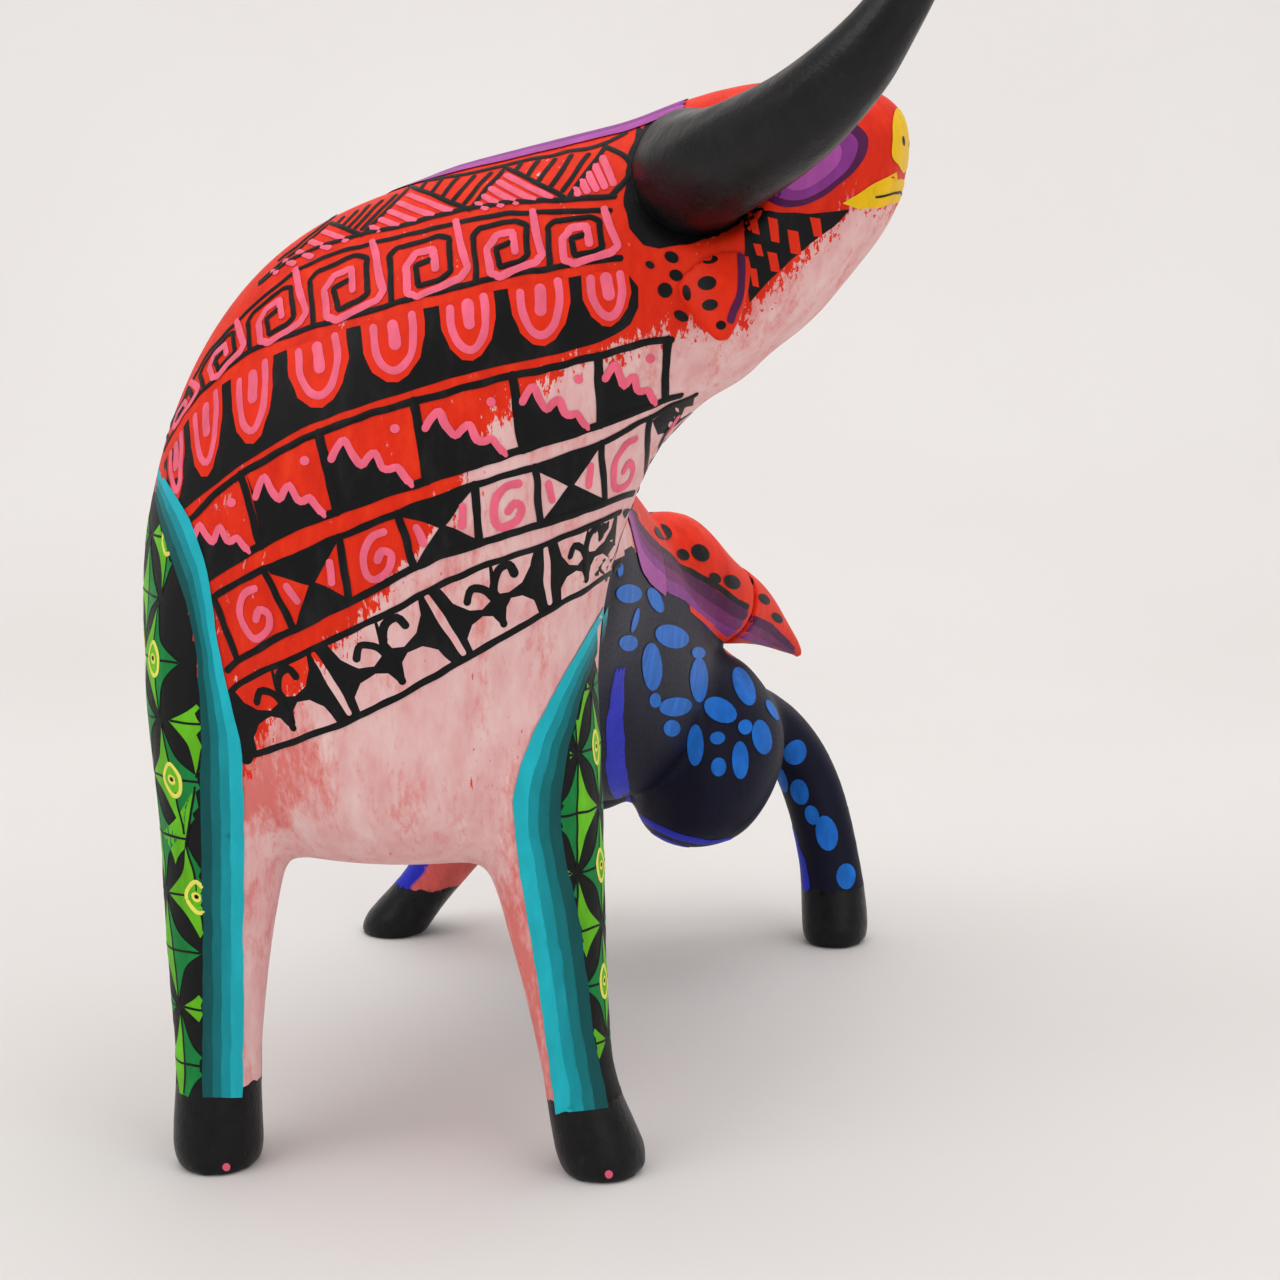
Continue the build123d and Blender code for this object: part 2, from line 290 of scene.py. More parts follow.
# Stations of the barrel: centre, half width, half height.
BARREL = np.array([
    (-11, -30, 114, 43, 47), (-6, 0, 104, 37, 40), (2, 28, 91, 30, 37), (8, 56, 79, 24, 33),
    (13, 82, 71, 17, 24), (17, 98, 67, 10, 14),
], float)
HORN = [
    (52.5, -68, 194.6, 12.4), (55, -73, 195.2, 11.2), (61, -80, 196.8, 10.2), (69, -86.5, 200, 9.3),
    (77.5, -92.5, 204.8, 8.3), (86, -96.5, 212, 7), (92.5, -98, 220, 5.5), (98.5, -97, 230, 4.2),
    (103, -92.5, 242, 2.8), (106, -87, 254, 1),
]
HEAD_POINT = np.array([66, -49.5, 190.0])
HEAD_NORMAL = np.array([-0.19, 0.98, 0.0]) / math.hypot(0.19, 0.98)


def mirror_head(points):
    """Reflects points in the middle plane of the head."""
    points = np.asarray(points, float)
    distance = (points - HEAD_POINT) @ HEAD_NORMAL
    return points - 2 * distance[..., None] * HEAD_NORMAL


def cast(tree, start, direction):
    """Point and normal where a ray first meets a surface, or None."""
    point, normal, index, distance = tree.ray_cast(Vector(start), Vector(direction))
    return None if point is None else (point, normal)


def between_points(a, b, c, d, f):
    """Point at a fraction f of the smooth curve from b to c, with neighbours a and d."""
    return 0.5 * (
        2 * b + (c - a) * f + (2 * a - 5 * b + 4 * c - d) * f * f + (3 * b - a - 3 * c + d) * f ** 3
    )


def catmull(table, position):
    """Smooth row of a table at a fractional index."""
    position = min(max(position, 0.0), len(table) - 1.0001)
    index = int(position)
    f = position - index
    rows = [table[min(max(index + k, 0), len(table) - 1)] for k in (-1, 0, 1, 2)]
    return between_points(*(np.asarray(row, float) for row in rows), f)


def remeshed(names, voxel):
    """One watertight skin round several CAD nodes, in carving millimetres."""
    points, triangles = [], []
    offset = 0
    for name in names:
        vertices, faces = mesh_millimetres(name)
        points.append(vertices)
        triangles.append(faces + offset)
        offset += len(vertices)
    mesh = bpy.data.meshes.new("skin_source")
    mesh.from_pydata(np.concatenate(points).tolist(), [], np.concatenate(triangles).tolist())
    obj = bpy.data.objects.new("skin_source", mesh)
    bpy.context.scene.collection.objects.link(obj)
    modifier = obj.modifiers.new("remesh", "REMESH")
    modifier.mode = "VOXEL"
    modifier.voxel_size = voxel
    depsgraph = bpy.context.evaluated_depsgraph_get()
    result = bpy.data.meshes.new_from_object(obj.evaluated_get(depsgraph))
    bpy.data.objects.remove(obj)
    return result


def smoothed(mesh, rounds, weight):
    """Laplacian smoothing of the mesh with one weight per vertex."""
    count = len(mesh.vertices)
    flat = np.empty(count * 3)
    mesh.vertices.foreach_get("co", flat)
    points = flat.reshape(-1, 3)
    edges = np.empty(len(mesh.edges) * 2, int)
    mesh.edges.foreach_get("vertices", edges)
    first, second = edges.reshape(-1, 2).T
    degree = np.bincount(first, minlength=count) + np.bincount(second, minlength=count)
    factor = weight(points)[:, None]
    for step in range(rounds):
        total = np.stack([
            np.bincount(first, points[second, k], count) + np.bincount(second, points[first, k], count)
            for k in range(3)
        ], 1)
        points = points + factor * (total / np.maximum(degree, 1)[:, None] - points)
    mesh.vertices.foreach_set("co", points.ravel())
    mesh.update()
    return points


def skin_weight(points):
    """Strong blending on the trunk, light on legs, muzzle and feet."""
    x, y, z = points.T
    weight = np.full(len(points), 0.55)
    weight[z < 50] = 0.2
    weight[(z < 62) & (np.abs(x + 5) > 22)] = 0.25
    weight[z < 6] = 0.08
    weight[(x > 60) & (z > 150)] = 0.3
    weight[(y > 62) & (z > 80) & (x > 18)] = 0.12
    return weight


FINE_VOXEL, QUICK_VOXEL = 1.15, 1.5
SKIN_ROUNDS = 34
skin_mesh = remeshed(BODY_PARTS + INNER_PINS, FINE_VOXEL)
skin_points = smoothed(skin_mesh, SKIN_ROUNDS, skin_weight)

# Hooves: a slightly uneven line is cut round each leg.
HOOVES = [(-41, -83, 17.2), (31, -70.5, 15.2), (-50, 86, 13.5), (54, 103.5, 14.8)]
skin = bmesh.new()
skin.from_mesh(skin_mesh)
for hoof_x, hoof_y, height in HOOVES:
    near = [
        face for face in skin.faces
        if abs(face.calc_center_median().z - height) < 4
        and math.hypot(face.calc_center_median().x - hoof_x, face.calc_center_median().y - hoof_y) < 22
    ]
    edges = {edge for face in near for edge in face.edges}
    corners = {vertex for face in near for vertex in face.verts}
    cut = bmesh.ops.bisect_plane(
        skin, geom=near + list(edges) + list(corners), dist=0.0001,
        plane_co=(0, 0, height), plane_no=(0, 0, 1),
    )
    for element in cut["geom_cut"]:
        if isinstance(element, bmesh.types.BMVert):
            element.co.z += 0.9 * noise.noise(element.co * 0.45) + 0.5 * noise.noise(element.co * 1.3)
bmesh.ops.recalc_face_normals(skin, faces=skin.faces)
skin.normal_update()
skin.verts.ensure_lookup_table()
SKIN = BVHTree.FromBMesh(skin)
skin_points = np.array([vertex.co[:] for vertex in skin.verts])
skin_normals = np.array([vertex.normal[:] for vertex in skin.verts])

# ---------------------------------------------------------------- charts

# The main elevation is drawn as seen from one standing point; u runs right, v up, in
# millimetres on a picture plane half a metre away.
EYE = np.array([147.5, -532.0, 183.0])
TURN = math.radians(12.8)
DIP = math.radians(9.16)
PLANE_DISTANCE = 500.0
FORWARD = np.array([-math.sin(TURN) * math.cos(DIP), math.cos(TURN) * math.cos(DIP), -math.sin(DIP)])
RIGHTWARD = np.array([math.cos(TURN), math.sin(TURN), 0.0])
UPWARD = np.cross(RIGHTWARD, FORWARD)


def elevation_of(points):
    """(u, v) of points on the main elevation."""
    offset = np.asarray(points, float) - EYE
    depth = offset @ FORWARD
    return PLANE_DISTANCE * (offset @ RIGHTWARD) / depth, PLANE_DISTANCE * (offset @ UPWARD) / depth


def chart_on(tree):
    """Main elevation chart of a surface: point and normal at (u, v), or None."""
    return lambda u, v: cast(tree, EYE, FORWARD * PLANE_DISTANCE + RIGHTWARD * u + UPWARD * v)


seen = chart_on(SKIN)


def middle_y(x, z):
    """Y of the middle surface of the chest, neck and head."""
    x = np.asarray(x, float)
    turned = np.interp(x, [-10, 45, 89], [-61, -53, -45])
    rise = np.clip((np.asarray(z, float) - 110) / 40, 0, 1)
    return -61 + (turned + 61) * rise


def seen_far(u, v):
    """The same drawing reflected to the hidden side of the neck and head."""
    hit = seen(u, v)
    if hit is None:
        return None
    point = hit[0]
    if point.x > 45 and point.z > 150:
        flipped = Vector(mirror_head(np.array(point[:])))
    else:
        flipped = Vector((point.x, 2 * float(middle_y(point.x, point.z)) - point.y, point.z))
    hit = cast(SKIN, (flipped.x, flipped.y + 25, flipped.z), (0, -1, 0))
    if hit is None or (hit[0] - flipped).length > 9 or hit[1].y < 0.05:
        return None
    return hit


def round_barrel(t, angle):
    """Point of the flank: t along the barrel stations, angle in degrees from the top, + to the left."""
    row = catmull(BARREL, t)
    turn = math.radians(angle)
    centre = Vector(row[:3])
    outward = Vector((math.sin(turn), -0.25 * math.sin(turn), math.cos(turn)))
    hit = cast(SKIN, centre + outward * 75, -outward)
    if hit is None or (hit[0] - centre).length > 1.25 * max(row[3], row[4]):
        return None
    return hit


LEGS = {
    "front_right": (
        -1, [(-41, -83.6, 5), (-41, -81.6, 32), (-40, -78.5, 62), (-39.5, -71, 106), (-38, -67, 130)],
    ),
    "front_left": (
        1, [(34.4, -70.8, 5), (28, -69.5, 32), (22.8, -67.5, 62), (15.5, -62, 106), (14, -60, 130)],
    ),
    "rear_right": (-1, [(-58, 85.6, 5), (-51, 86.5, 13), (-41.5, 84, 25), (-29, 79, 38), (-18, 75, 50)]),
    "rear_left": (1, [(55.7, 102.4, 5), (54, 104, 15), (50.2, 106, 31), (45.2, 107, 46), (38.5, 104, 58)]),
}


def leg_axis(name, z):
    """Centre of a leg at a height."""
    rows = np.array(LEGS[name][1], float)
    return Vector((np.interp(z, rows[:, 2], rows[:, 0]), np.interp(z, rows[:, 2], rows[:, 1]), z))


def round_leg(name):
    """Chart of a leg: angle in degrees from its outer side, + towards the front, and height."""
    side = LEGS[name][0]

    def chart(angle, z):
        centre = leg_axis(name, z)
        turn = math.radians(angle)
        outward = Vector((side * math.cos(turn), -math.sin(turn), 0))
        hit = cast(SKIN, centre + outward * 34, -outward)
        if hit is None or (hit[0] - centre).length > 33:
            return None
        return hit

    return chart


# ---------------------------------------------------------------- brushwork

# The paint of one colour on one body: (colour, body) to its points, faces and slot.
coats = {}
HAND = 0.33  # unsteadiness of the brush
LONGEST_EDGE = 12.0  # paint stretched further than this has crossed a fold
LONGEST_JUMP = 8.0  # a stroke that jumps further than this is broken


def coat(colour, body, slot):
    """The coat of a colour, made on first use."""
    return coats.setdefault((colour, body), {"points": [], "faces": [], "slot": slot})


def wobble(u, v, amount=HAND):
    """Slight unsteadiness of the hand."""
    seat = Vector((u * 0.22, v * 0.22, 3.1))
    return u + amount * noise.noise(seat), v + amount * noise.noise(seat + Vector((9.3, 4.1, 7.7)))


def curve(points, step=0.9, closed=False):
    """Smooth curve through points, resampled at a step."""
    table = [np.array(p, float) for p in points]
    if closed:
        table = [table[-1]] + table + table[:2]
    samples = []
    spans = range(1, len(table) - 2) if closed else range(len(table) - 1)
    for i in spans:
        a, b = table[max(i - 1, 0)], table[i]
        c, d = table[i + 1], table[min(i + 2, len(table) - 1)]
        count = max(2, int(np.linalg.norm(c - b) / step) + 1)
        samples += [between_points(a, b, c, d, k / count) for k in range(count)]
    if not closed:
        samples.append(table[-1])
    return samples


def straight(points, step=0.9, closed=False):
    """Polyline with corners kept, resampled at a step."""
    table = [np.array(p, float) for p in points]
    if closed:
        table.append(table[0])
    samples = []
    for b, c in zip(table, table[1:]):
        count = max(1, int(np.linalg.norm(c - b) / step))
        samples += [b + (c - b) * k / count for k in range(count)]
    if not closed:
        samples.append(table[-1])
    return samples


def fill(
    chart, outline, colour, height=0.08, step=1.6, hand=HAND, body=FIGURE, slot="painted_body", scale=(1, 1)
):
    """Flat area of paint bounded by an outline in chart units; scale is millimetres per chart unit.

    height is how far the coat stands off the skin, more for a coat that lies over another.
    """
    ring = [wobble(p[0] * scale[0], p[1] * scale[1], hand) for p in outline]
    low_u, low_v = min(p[0] for p in ring), min(p[1] for p in ring)
    high_u, high_v = max(p[0] for p in ring), max(p[1] for p in ring)
    points = [Vector(p) for p in ring]
    rows = int((high_v - low_v) / (step * 0.87)) + 1
    columns = int((high_u - low_u) / step) + 1
    ring_array = np.array(ring)
    for row in range(rows):
        for column in range(columns):
            u = low_u + step * (column + 0.5 * (row % 2)) + 0.013
            v = low_v + step * 0.87 * row + 0.017
            if np.min(np.hypot(ring_array[:, 0] - u, ring_array[:, 1] - v)) > step * 0.45:
                points.append(Vector((u, v)))
    edges = [(k, (k + 1) % len(ring)) for k in range(len(ring))]
    flat, flat_edges, faces, o1, o2, o3 = delaunay_2d_cdt(points, edges, [list(range(len(ring)))], 1, 1e-5)
    target = coat(colour, body, slot)
    placed = {}
    for face in faces:
        corners = []
        for k in face:
            if k not in placed:
                hit = chart(flat[k].x / scale[0], flat[k].y / scale[1])
                if hit is None:
                    placed[k] = None
                else:
                    placed[k] = (len(target["points"]), hit[0], hit[1])
                    target["points"].append(hit[0] + hit[1] * height)
            corners.append(placed[k])
        if any(c is None for c in corners):
            continue
        longest = max((corners[i][1] - corners[i - 1][1]).length for i in range(3))
        if longest > LONGEST_EDGE:
            continue
        across = (corners[1][1] - corners[0][1]).cross(corners[2][1] - corners[0][1])
        ids = [c[0] for c in corners]
        if across.dot(corners[0][2]) < 0:
            ids.reverse()
        target["faces"].append(ids)


def stroke(
    chart, points, width, colour, height=0.12, closed=False, corners=False, taper=0.0, body=FIGURE,
    slot="painted_body", hand=HAND, lift=0.07, scale=(1, 1), surface=None,
):
    """Brush stroke along a path in chart units: rounded ends, middle raised by lift."""
    scaled = [(p[0] * scale[0], p[1] * scale[1]) for p in points]
    samples = straight(scaled, 0.8, closed) if corners else curve(scaled, 0.8, closed)
    lines, broken = [[]], False
    for sample in samples:
        u, v = wobble(sample[0], sample[1], hand)
        hit = chart(u / scale[0], v / scale[1])
        line = lines[-1]
        if hit is None or (line and (hit[0] - line[-1][0]).length > LONGEST_JUMP):
            lines.append([])
            broken = True
        if hit is not None:
            lines[-1].append(hit)
    for line in lines:
        if len(line) > 1:
            ribbon(line, width, colour, height, closed and not broken, taper, body, slot, lift, surface)


ACROSS = ((-1.0, 0.0), (-0.55, 0.8), (0.0, 1.0), (0.55, 0.8), (1.0, 0.0))


def ribbon(line, width, colour, height, closed, taper, body, slot, lift, surface):
    """Lays one stroke on the skin through points with normals."""
    tree = surface or SKIN
    spots = [point for point, normal in line]
    normals = [normal for point, normal in line]
    count = len(spots)
    rings = []
    travelled = 0.0
    total = sum((spots[i + 1] - spots[i]).length for i in range(count - 1))
    for i in range(count):
        ahead = spots[(i + 1) % count] if closed else spots[min(i + 1, count - 1)]
        behind = spots[i - 1] if closed or i > 0 else spots[0]
        along = (ahead - behind)
        if along.length < 1e-6:
            continue
        along.normalize()
        swell = 1 + 0.16 * noise.noise(spots[i] * 0.35 + Vector((5, 2, 8)))
        if taper and total > 0:
            f = travelled / total
            swell *= 1 - taper * abs(2 * f - 1) ** 2
        rings.append((spots[i], along, normals[i], 0.5 * width * swell))
        if i + 1 < count:
            travelled += (spots[i + 1] - spots[i]).length
    if len(rings) < 2:
        return
    if not closed:
        caps = []
        for place, along, normal, half in (rings[0], rings[-1]):
            sign = -1 if not caps else 1
            caps.append([
                (place + along * sign * half * math.sin(a), along, normal, half * math.cos(a))
                for a in (0.45, 0.9, 1.25, 1.5)
            ])
        rings = caps[0][::-1] + rings + caps[1]
    target = coat(colour, body, slot)
    base = len(target["points"])
    for place, along, normal, half in rings:
        sideways = normal.cross(along)
        sideways.normalize()
        for offset, dome in ACROSS:
            found, found_normal, index, distance = tree.find_nearest(place + sideways * offset * half)
            rise = height + lift * dome * min(1.0, half / 0.5)
            target["points"].append(found + found_normal * rise)
    wide = len(ACROSS)
    steps = len(rings) if closed else len(rings) - 1
    for r in range(steps):
        a = base + r * wide
        b = base + ((r + 1) % len(rings)) * wide
        for k in range(wide - 1):
            target["faces"].append([a + k, a + k + 1, b + k + 1, b + k])


def dot(
    chart, u, v, radius, colour, height=0.12, body=FIGURE, slot="painted_body", scale=(1, 1),
    oval=1.0, tilt=0.0,
):
    """Round or oval dab."""
    ring = []
    for k in range(16):
        angle = 2 * math.pi * k / 16
        x, y = radius * math.cos(angle), radius * oval * math.sin(angle)
        ring.append((
            u + (x * math.cos(tilt) - y * math.sin(tilt)) / scale[0],
            v + (x * math.sin(tilt) + y * math.cos(tilt)) / scale[1],
        ))
    fill(chart, ring, colour, height, max(0.7, radius * 0.35), 0.15, body, slot, scale)

# ---------------------------------------------------------------- ground zones of the skin

# Where red ends and pale pink begins on the main elevation: (u, v) from the chest to the lips.
PALE_EDGE = [
    (-95, -34), (-78, -24), (-68, -11), (-58, 1), (-48, 14), (-38, 29), (-28, 44), (-18, 51), (-8, 57),
    (4, 61), (14, 63), (22, 65), (30, 74), (42, 85.5), (56, 88),
]
# Outer edge of the teal border on each front leg: (u, v) upwards.
RIGHT_BORDER_OUT = [
    (-87, -91.5), (-87, -72), (-87, -52), (-87.4, -32), (-87.4, -16), (-88.6, -2), (-90.5, 8), (-94.5, 20),
    (-97, 29),
]
RIGHT_BORDER_IN = [
    (-79.6, -91.5), (-79.4, -72), (-79.4, -52), (-79.4, -32), (-80, -20), (-83, -8), (-85, 4), (-87, 16),
    (-91, 26), (-96, 34),
]
LEFT_BORDER_OUT = [
    (-7, -93.5), (-10, -78), (-11.6, -64), (-13.6, -52), (-16, -42), (-16.4, -32), (-14.4, -20), (-11, -8),
    (-7, 2),
]
LEFT_BORDER_IN = [
    (-16.6, -94.8), (-19, -78), (-21, -64), (-23, -52), (-25, -38), (-25.2, -30), (-22, -20), (-17, -10),
    (-10, 2), (-6.4, 9),
]


def smooth_step(value, low, high):
    """0 below low, 1 above high, smooth between."""
    f = np.clip((value - low) / (high - low), 0, 1)
    return f * f * (3 - 2 * f)


def near_side(points):
    """Points of the hidden side reflected to the side that faces the main elevation."""
    points = np.array(points, float)
    middle = middle_y(points[:, 0], points[:, 2])
    points[:, 1] = np.where(points[:, 1] > middle, 2 * middle - points[:, 1], points[:, 1])
    return points


def barrel_angle(points):
    """Angle round the barrel from its top, in degrees, + to the bull's left."""
    x, y, z = points.T
    centre_x = np.interp(y, BARREL[:, 1], BARREL[:, 0])
    centre_z = np.interp(y, BARREL[:, 1], BARREL[:, 2])
    return np.degrees(np.arctan2(x - centre_x, z - centre_z))


def ground_zones(points):
    """pale, blush, cover and zone colour for every skin vertex."""
    x, y, z = points.T
    u, v = elevation_of(near_side(points))
    edge = np.array(PALE_EDGE, float)
    pale = smooth_step(np.interp(u, edge[:, 0], edge[:, 1]) - v, -9, 9)
    hind = smooth_step(y, -32, -14)
    angle = barrel_angle(points)
    belly = smooth_step(np.abs(angle), 105, 130)
    pale = pale * (1 - hind) + belly * hind
    blush = 0.13 + 0.42 * smooth_step(-np.abs(v + 27), -18, -2) * smooth_step(-u, 56, 78)
    blush += 0.3 * smooth_step(-v, 14, 34) * smooth_step(u, -34, -22)
    cover = np.zeros(len(points))
    zone = np.zeros((len(points), 3))

    def lay(mask, colour):
        cover[mask] = 1.0
        zone[mask] = colour

    # Hindquarters: navy below the stripe, ultramarine towards the belly and the front edge.
    navy = (0.0035, 0.004, 0.018)
    rim = (0.012, 0.018, 0.42)
    left = x > 4
    split = np.where(left, np.interp(y, [-40, 10, 40, 60, 90], [84, 76, 62, 60, 66]), 58)
    start = np.where(
        left, np.interp(z, [60, 72, 85, 100, 125], [-6, -24, -42, -53, -54]),
        np.interp(z, [60, 130], [0, -20])
    )
    start = start + 2.5 * np.sin(z * 0.13)
    lay((np.abs(angle) > split) & (y > start), navy)
    rear_limb = (z < 60) & (y > 20)
    lay(rear_limb, navy)
    lay((z < 33) & (x < -22) & (y > 60), (0.62, 0.10, 0.09))
    lay((z < 34) & (x < 0.8 * z - 64) & (y > 60), rim)
    # Outer faces of the front legs and shoulders, black under the green facets.
    for side, border, top in ((-1, RIGHT_BORDER_OUT, 136), (1, LEFT_BORDER_OUT, 117)):
        edge = np.array(border, float)
        flipped = np.array(points)
        row = np.array(LEGS["front_right" if side < 0 else "front_left"][1], float)
        axis_y = np.interp(z, row[:, 2], row[:, 1])
        flipped[:, 1] = np.where(y > axis_y, 2 * axis_y - y, y)
        leg_u, leg_v = elevation_of(flipped)
        limit = np.interp(leg_v, edge[:, 1], edge[:, 0])
        axis_x = np.interp(z, row[:, 2], row[:, 0])
        outside = ((leg_u - limit) * side > 0) & (z < top) & (y < -32) & ((x - axis_x) * side > -6)
        lay(outside, (0.005, 0.006, 0.006))
    # The seats of the horns, with the bores inside them.
    seat = np.array(HORN[0][:3])
    for middle in (seat, mirror_head(seat)):
        lay(np.linalg.norm(points - middle, axis=1) < 12.5, BLACK)
    return pale, blush, cover, zone


pale, blush, cover, zone = ground_zones(skin_points)


def part_of(centre):
    """Which carved piece a spot of the skin belongs to."""
    x, y, z = centre
    if z < 62 and y < -40 and abs(x + 8) > 17:
        return "front_leg_right" if x < -8 else "front_leg_left"
    if z > 150 and (x - 37) * 0.934 + (z - 205) * 0.357 > 0:
        return "head"
    if y > 60 and (x - 37) * 0.59 + (y - 100) * 0.53 - (z - 56) * 0.61 > 0 and x > 20:
        return "rear_leg_left"
    if y > 60 and -(x + 24.5) * 0.66 + (y - 78) * 0.23 - (z - 43) * 0.71 > 0 and x < -8:
        return "rear_leg_right"
    return "torso"


def build_skin():
    """Splits the skin at the carved joints; shared normals keep the seams invisible."""
    groups = {}
    for face in skin.faces:
        groups.setdefault(part_of(face.calc_center_median()), []).append(face)
    for name, faces in groups.items():
        ids = sorted({vertex.index for face in faces for vertex in face.verts})
        renumber = {old: new for new, old in enumerate(ids)}
        polygons = [[renumber[vertex.index] for vertex in face.verts] for face in faces]
        obj = new_object(
            "carved_" + name, skin_points[ids], polygons, [GROUND, HOOF], FIGURE,
        )
        mesh = obj.data
        if "leg" in name:
            for polygon, face in zip(mesh.polygons, faces):
                centre = face.calc_center_median()
                height = min(
                    (math.hypot(centre.x - hx, centre.y - hy), top) for hx, hy, top in HOOVES
                )[1]
                wave = 0.9 * noise.noise(Vector((centre.x, centre.y, height)) * 0.45)
                if centre.z < height + wave:
                    polygon.material_index = 1
        for label, values in (("pale", pale), ("blush", blush), ("cover", cover)):
            layer = mesh.attributes.new(label, "FLOAT", "POINT")
            layer.data.foreach_set("value", values[ids])
        layer = mesh.attributes.new("zone", "FLOAT_COLOR", "POINT")
        layer.data.foreach_set("color", np.concatenate([zone[ids], np.ones((len(ids), 1))], 1).ravel())
        mesh.normals_split_custom_set_from_vertices(skin_normals[ids].tolist())
        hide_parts(name)


skin.verts.index_update()
build_skin()

# ---------------------------------------------------------------- bands of the neck

# Each edge is (u, v) on the main elevation, from the bull's right shoulder to its head.
BAND1_TOP = [
    (-80, 67), (-72, 76), (-64, 82.5), (-56, 88), (-48, 91), (-38, 92.6), (-28, 94.8), (-18, 96.8),
    (-8, 99), (-3, 101.5),
]
BAND1_LOW = [
    (-80, 67), (-76, 71.4), (-68, 77), (-58, 80.6), (-48, 82.8), (-38, 85.4), (-28, 87.4), (-16, 88),
    (-5, 88.8),
]
BAND2_TOP = [
    (-94, 43), (-90, 51), (-85, 59), (-78, 66.2), (-68, 74.2), (-58, 78.2), (-48, 80.6), (-38, 83),
    (-28, 85), (-18, 85.6), (-6, 86),
]
BAND2_LOW = [
    (-95, 38), (-92, 44), (-87, 50.4), (-78, 57.6), (-68, 61.8), (-58, 64.6), (-48, 67.6), (-38, 70.2),
    (-28, 72.6), (-16, 74.6), (-4, 76.4),
]
BAND3_TOP = [
    (-95.5, 34), (-92.8, 40), (-88, 47), (-82, 52.2), (-74, 56.8), (-62, 61), (-48, 65), (-38, 67.6),
    (-28, 70), (-16, 72.2), (-4, 73.8), (0, 70),
]
BAND3_LOW = [
    (-93, 25), (-91, 26.4), (-85, 31), (-78, 36), (-68, 42), (-58, 46), (-48, 49.2), (-38, 52.4),
    (-28, 54.8), (-18, 56.8), (-8, 59.8), (-2, 63), (0, 68),
]
BAND4_TOP = [
    (-92, 22.5), (-89, 25), (-84, 30), (-78, 34), (-68, 39.8), (-58, 43.8), (-48, 47), (-38, 49.6),
    (-28, 52.2), (-18, 54.4), (-8, 57), (2, 59.6), (6, 60),
]
BAND4_LOW = [
    (-89, 9), (-85.6, 12.8), (-78, 17.6), (-68, 23), (-58, 26.6), (-48, 30.2), (-38, 33.4), (-28, 36.6),
    (-18, 39.8), (-8, 43), (2, 46.8), (8, 49),
]
BAND5_TOP = [
    (-87, 6.5), (-84.6, 9), (-78, 12.8), (-68, 17.2), (-58, 21.4), (-48, 25.6), (-38, 29.2), (-28, 32.6),
    (-18, 35.6), (-8, 39.4), (2, 44.6), (11, 49.2),
]
BAND5_LOW = [
    (-82.5, -6), (-80.2, -4), (-74, -0.4), (-68, 2.8), (-58, 7.6), (-48, 13), (-38, 17.4), (-28, 20.6),
    (-18, 23.6), (-8, 27), (1, 30),
]
BAND6_TOP = [
    (-84, -12.5), (-82.8, -11.4), (-78.8, -8), (-68, -3), (-58, 1.8), (-48, 6.6), (-38, 12), (-28, 16),
    (-18, 19.6), (-4, 25.6),
]
BAND6_LOW = [
    (-78, -23.2), (-68, -19.8), (-58, -16), (-48, -11.2), (-38, -5.4), (-28, 0.2), (-18, 6.2), (-10, 10.6),
    (-4, 15.2),
]


def edge_line(points):
    """Height of a band edge at u."""
    smooth = np.array(curve(points, 1.0))
    return lambda u: float(np.interp(u, smooth[:, 0], smooth[:, 1]))


def between(top, low, left, right):
    """Unit cell of a band: x from the left to the right divider, y from the top edge down."""
    def place(x, y):
        start = left[0] + (left[1] - left[0]) * y
        end = right[0] + (right[1] - right[0]) * y
        u = start + (end - start) * x
        return u, top(u) + (low(u) - top(u)) * y
    return place


def at(place, points):
    """Unit points of a cell set out on the band."""
    return [place(x, y) for x, y in points]


def dense(place, points, step=0.06):
    """Unit outline with enough points to bend with the band."""
    return [place(*p) for p in straight(points, step, True)]


def hatch(chart, start, end, corner, count, width, colour):
    """Strokes parallel to start-end, shortening towards the corner of a triangle."""
    start, end, corner = (np.array(p, float) for p in (start, end, corner))
    for k in range(count):
        t = (k + 0.75) / (count + 0.7)
        a = start + t * (corner - start)
        b = end + t * (corner - end)
        stroke(chart, [a + (b - a) * 0.1, b + (a - b) * 0.1], width, colour, 0.13)


def greca(chart, place, colour, width):
    """Squared spiral, black or pink."""
    if colour == "black":
        path = [
            (0.03, 1.0), (0.03, 0.26), (0.12, 0.17), (0.62, 0.13), (0.74, 0.2), (0.73, 0.72), (0.62, 0.8),
            (0.36, 0.84), (0.33, 0.52), (0.5, 0.46),
        ]
    else:
        path = [
            (0.83, -0.02), (0.87, 0.3), (0.93, 0.74), (0.84, 0.86), (0.34, 1.0), (0.22, 0.9), (0.21, 0.5),
            (0.34, 0.32), (0.54, 0.31), (0.56, 0.62),
        ]
    bent = straight(path, 0.07)
    stroke(chart, at(place, bent), width, colour, 0.13 if colour == "black" else 0.17)


def tongue(chart, place):
    """Red petal hanging on black, with a pink loop and a pink dab."""
    petal = [
        (0.05, 0.0), (0.5, 0.0), (0.95, 0.0), (0.94, 0.35), (0.84, 0.62), (0.66, 0.8), (0.5, 0.85),
        (0.34, 0.8), (0.16, 0.62), (0.06, 0.35),
    ]
    fill(chart, dense(place, petal), "red", 0.11)
    loop = [(0.22, 0.08), (0.23, 0.36), (0.33, 0.6), (0.5, 0.7), (0.67, 0.6), (0.77, 0.36), (0.78, 0.04)]
    stroke(chart, at(place, loop), 1.5, "pink", 0.16)
    stroke(chart, at(place, [(0.5, 0.1), (0.51, 0.36)]), 2.2, "pink", 0.16)


STEPS = [
    (0.02, 0.36), (0.1, 0.26), (0.2, 0.2), (0.25, 0.4), (0.33, 0.56), (0.42, 0.5), (0.51, 0.47),
    (0.56, 0.68), (0.64, 0.73), (0.73, 0.73), (0.79, 0.86), (0.85, 0.98),
]


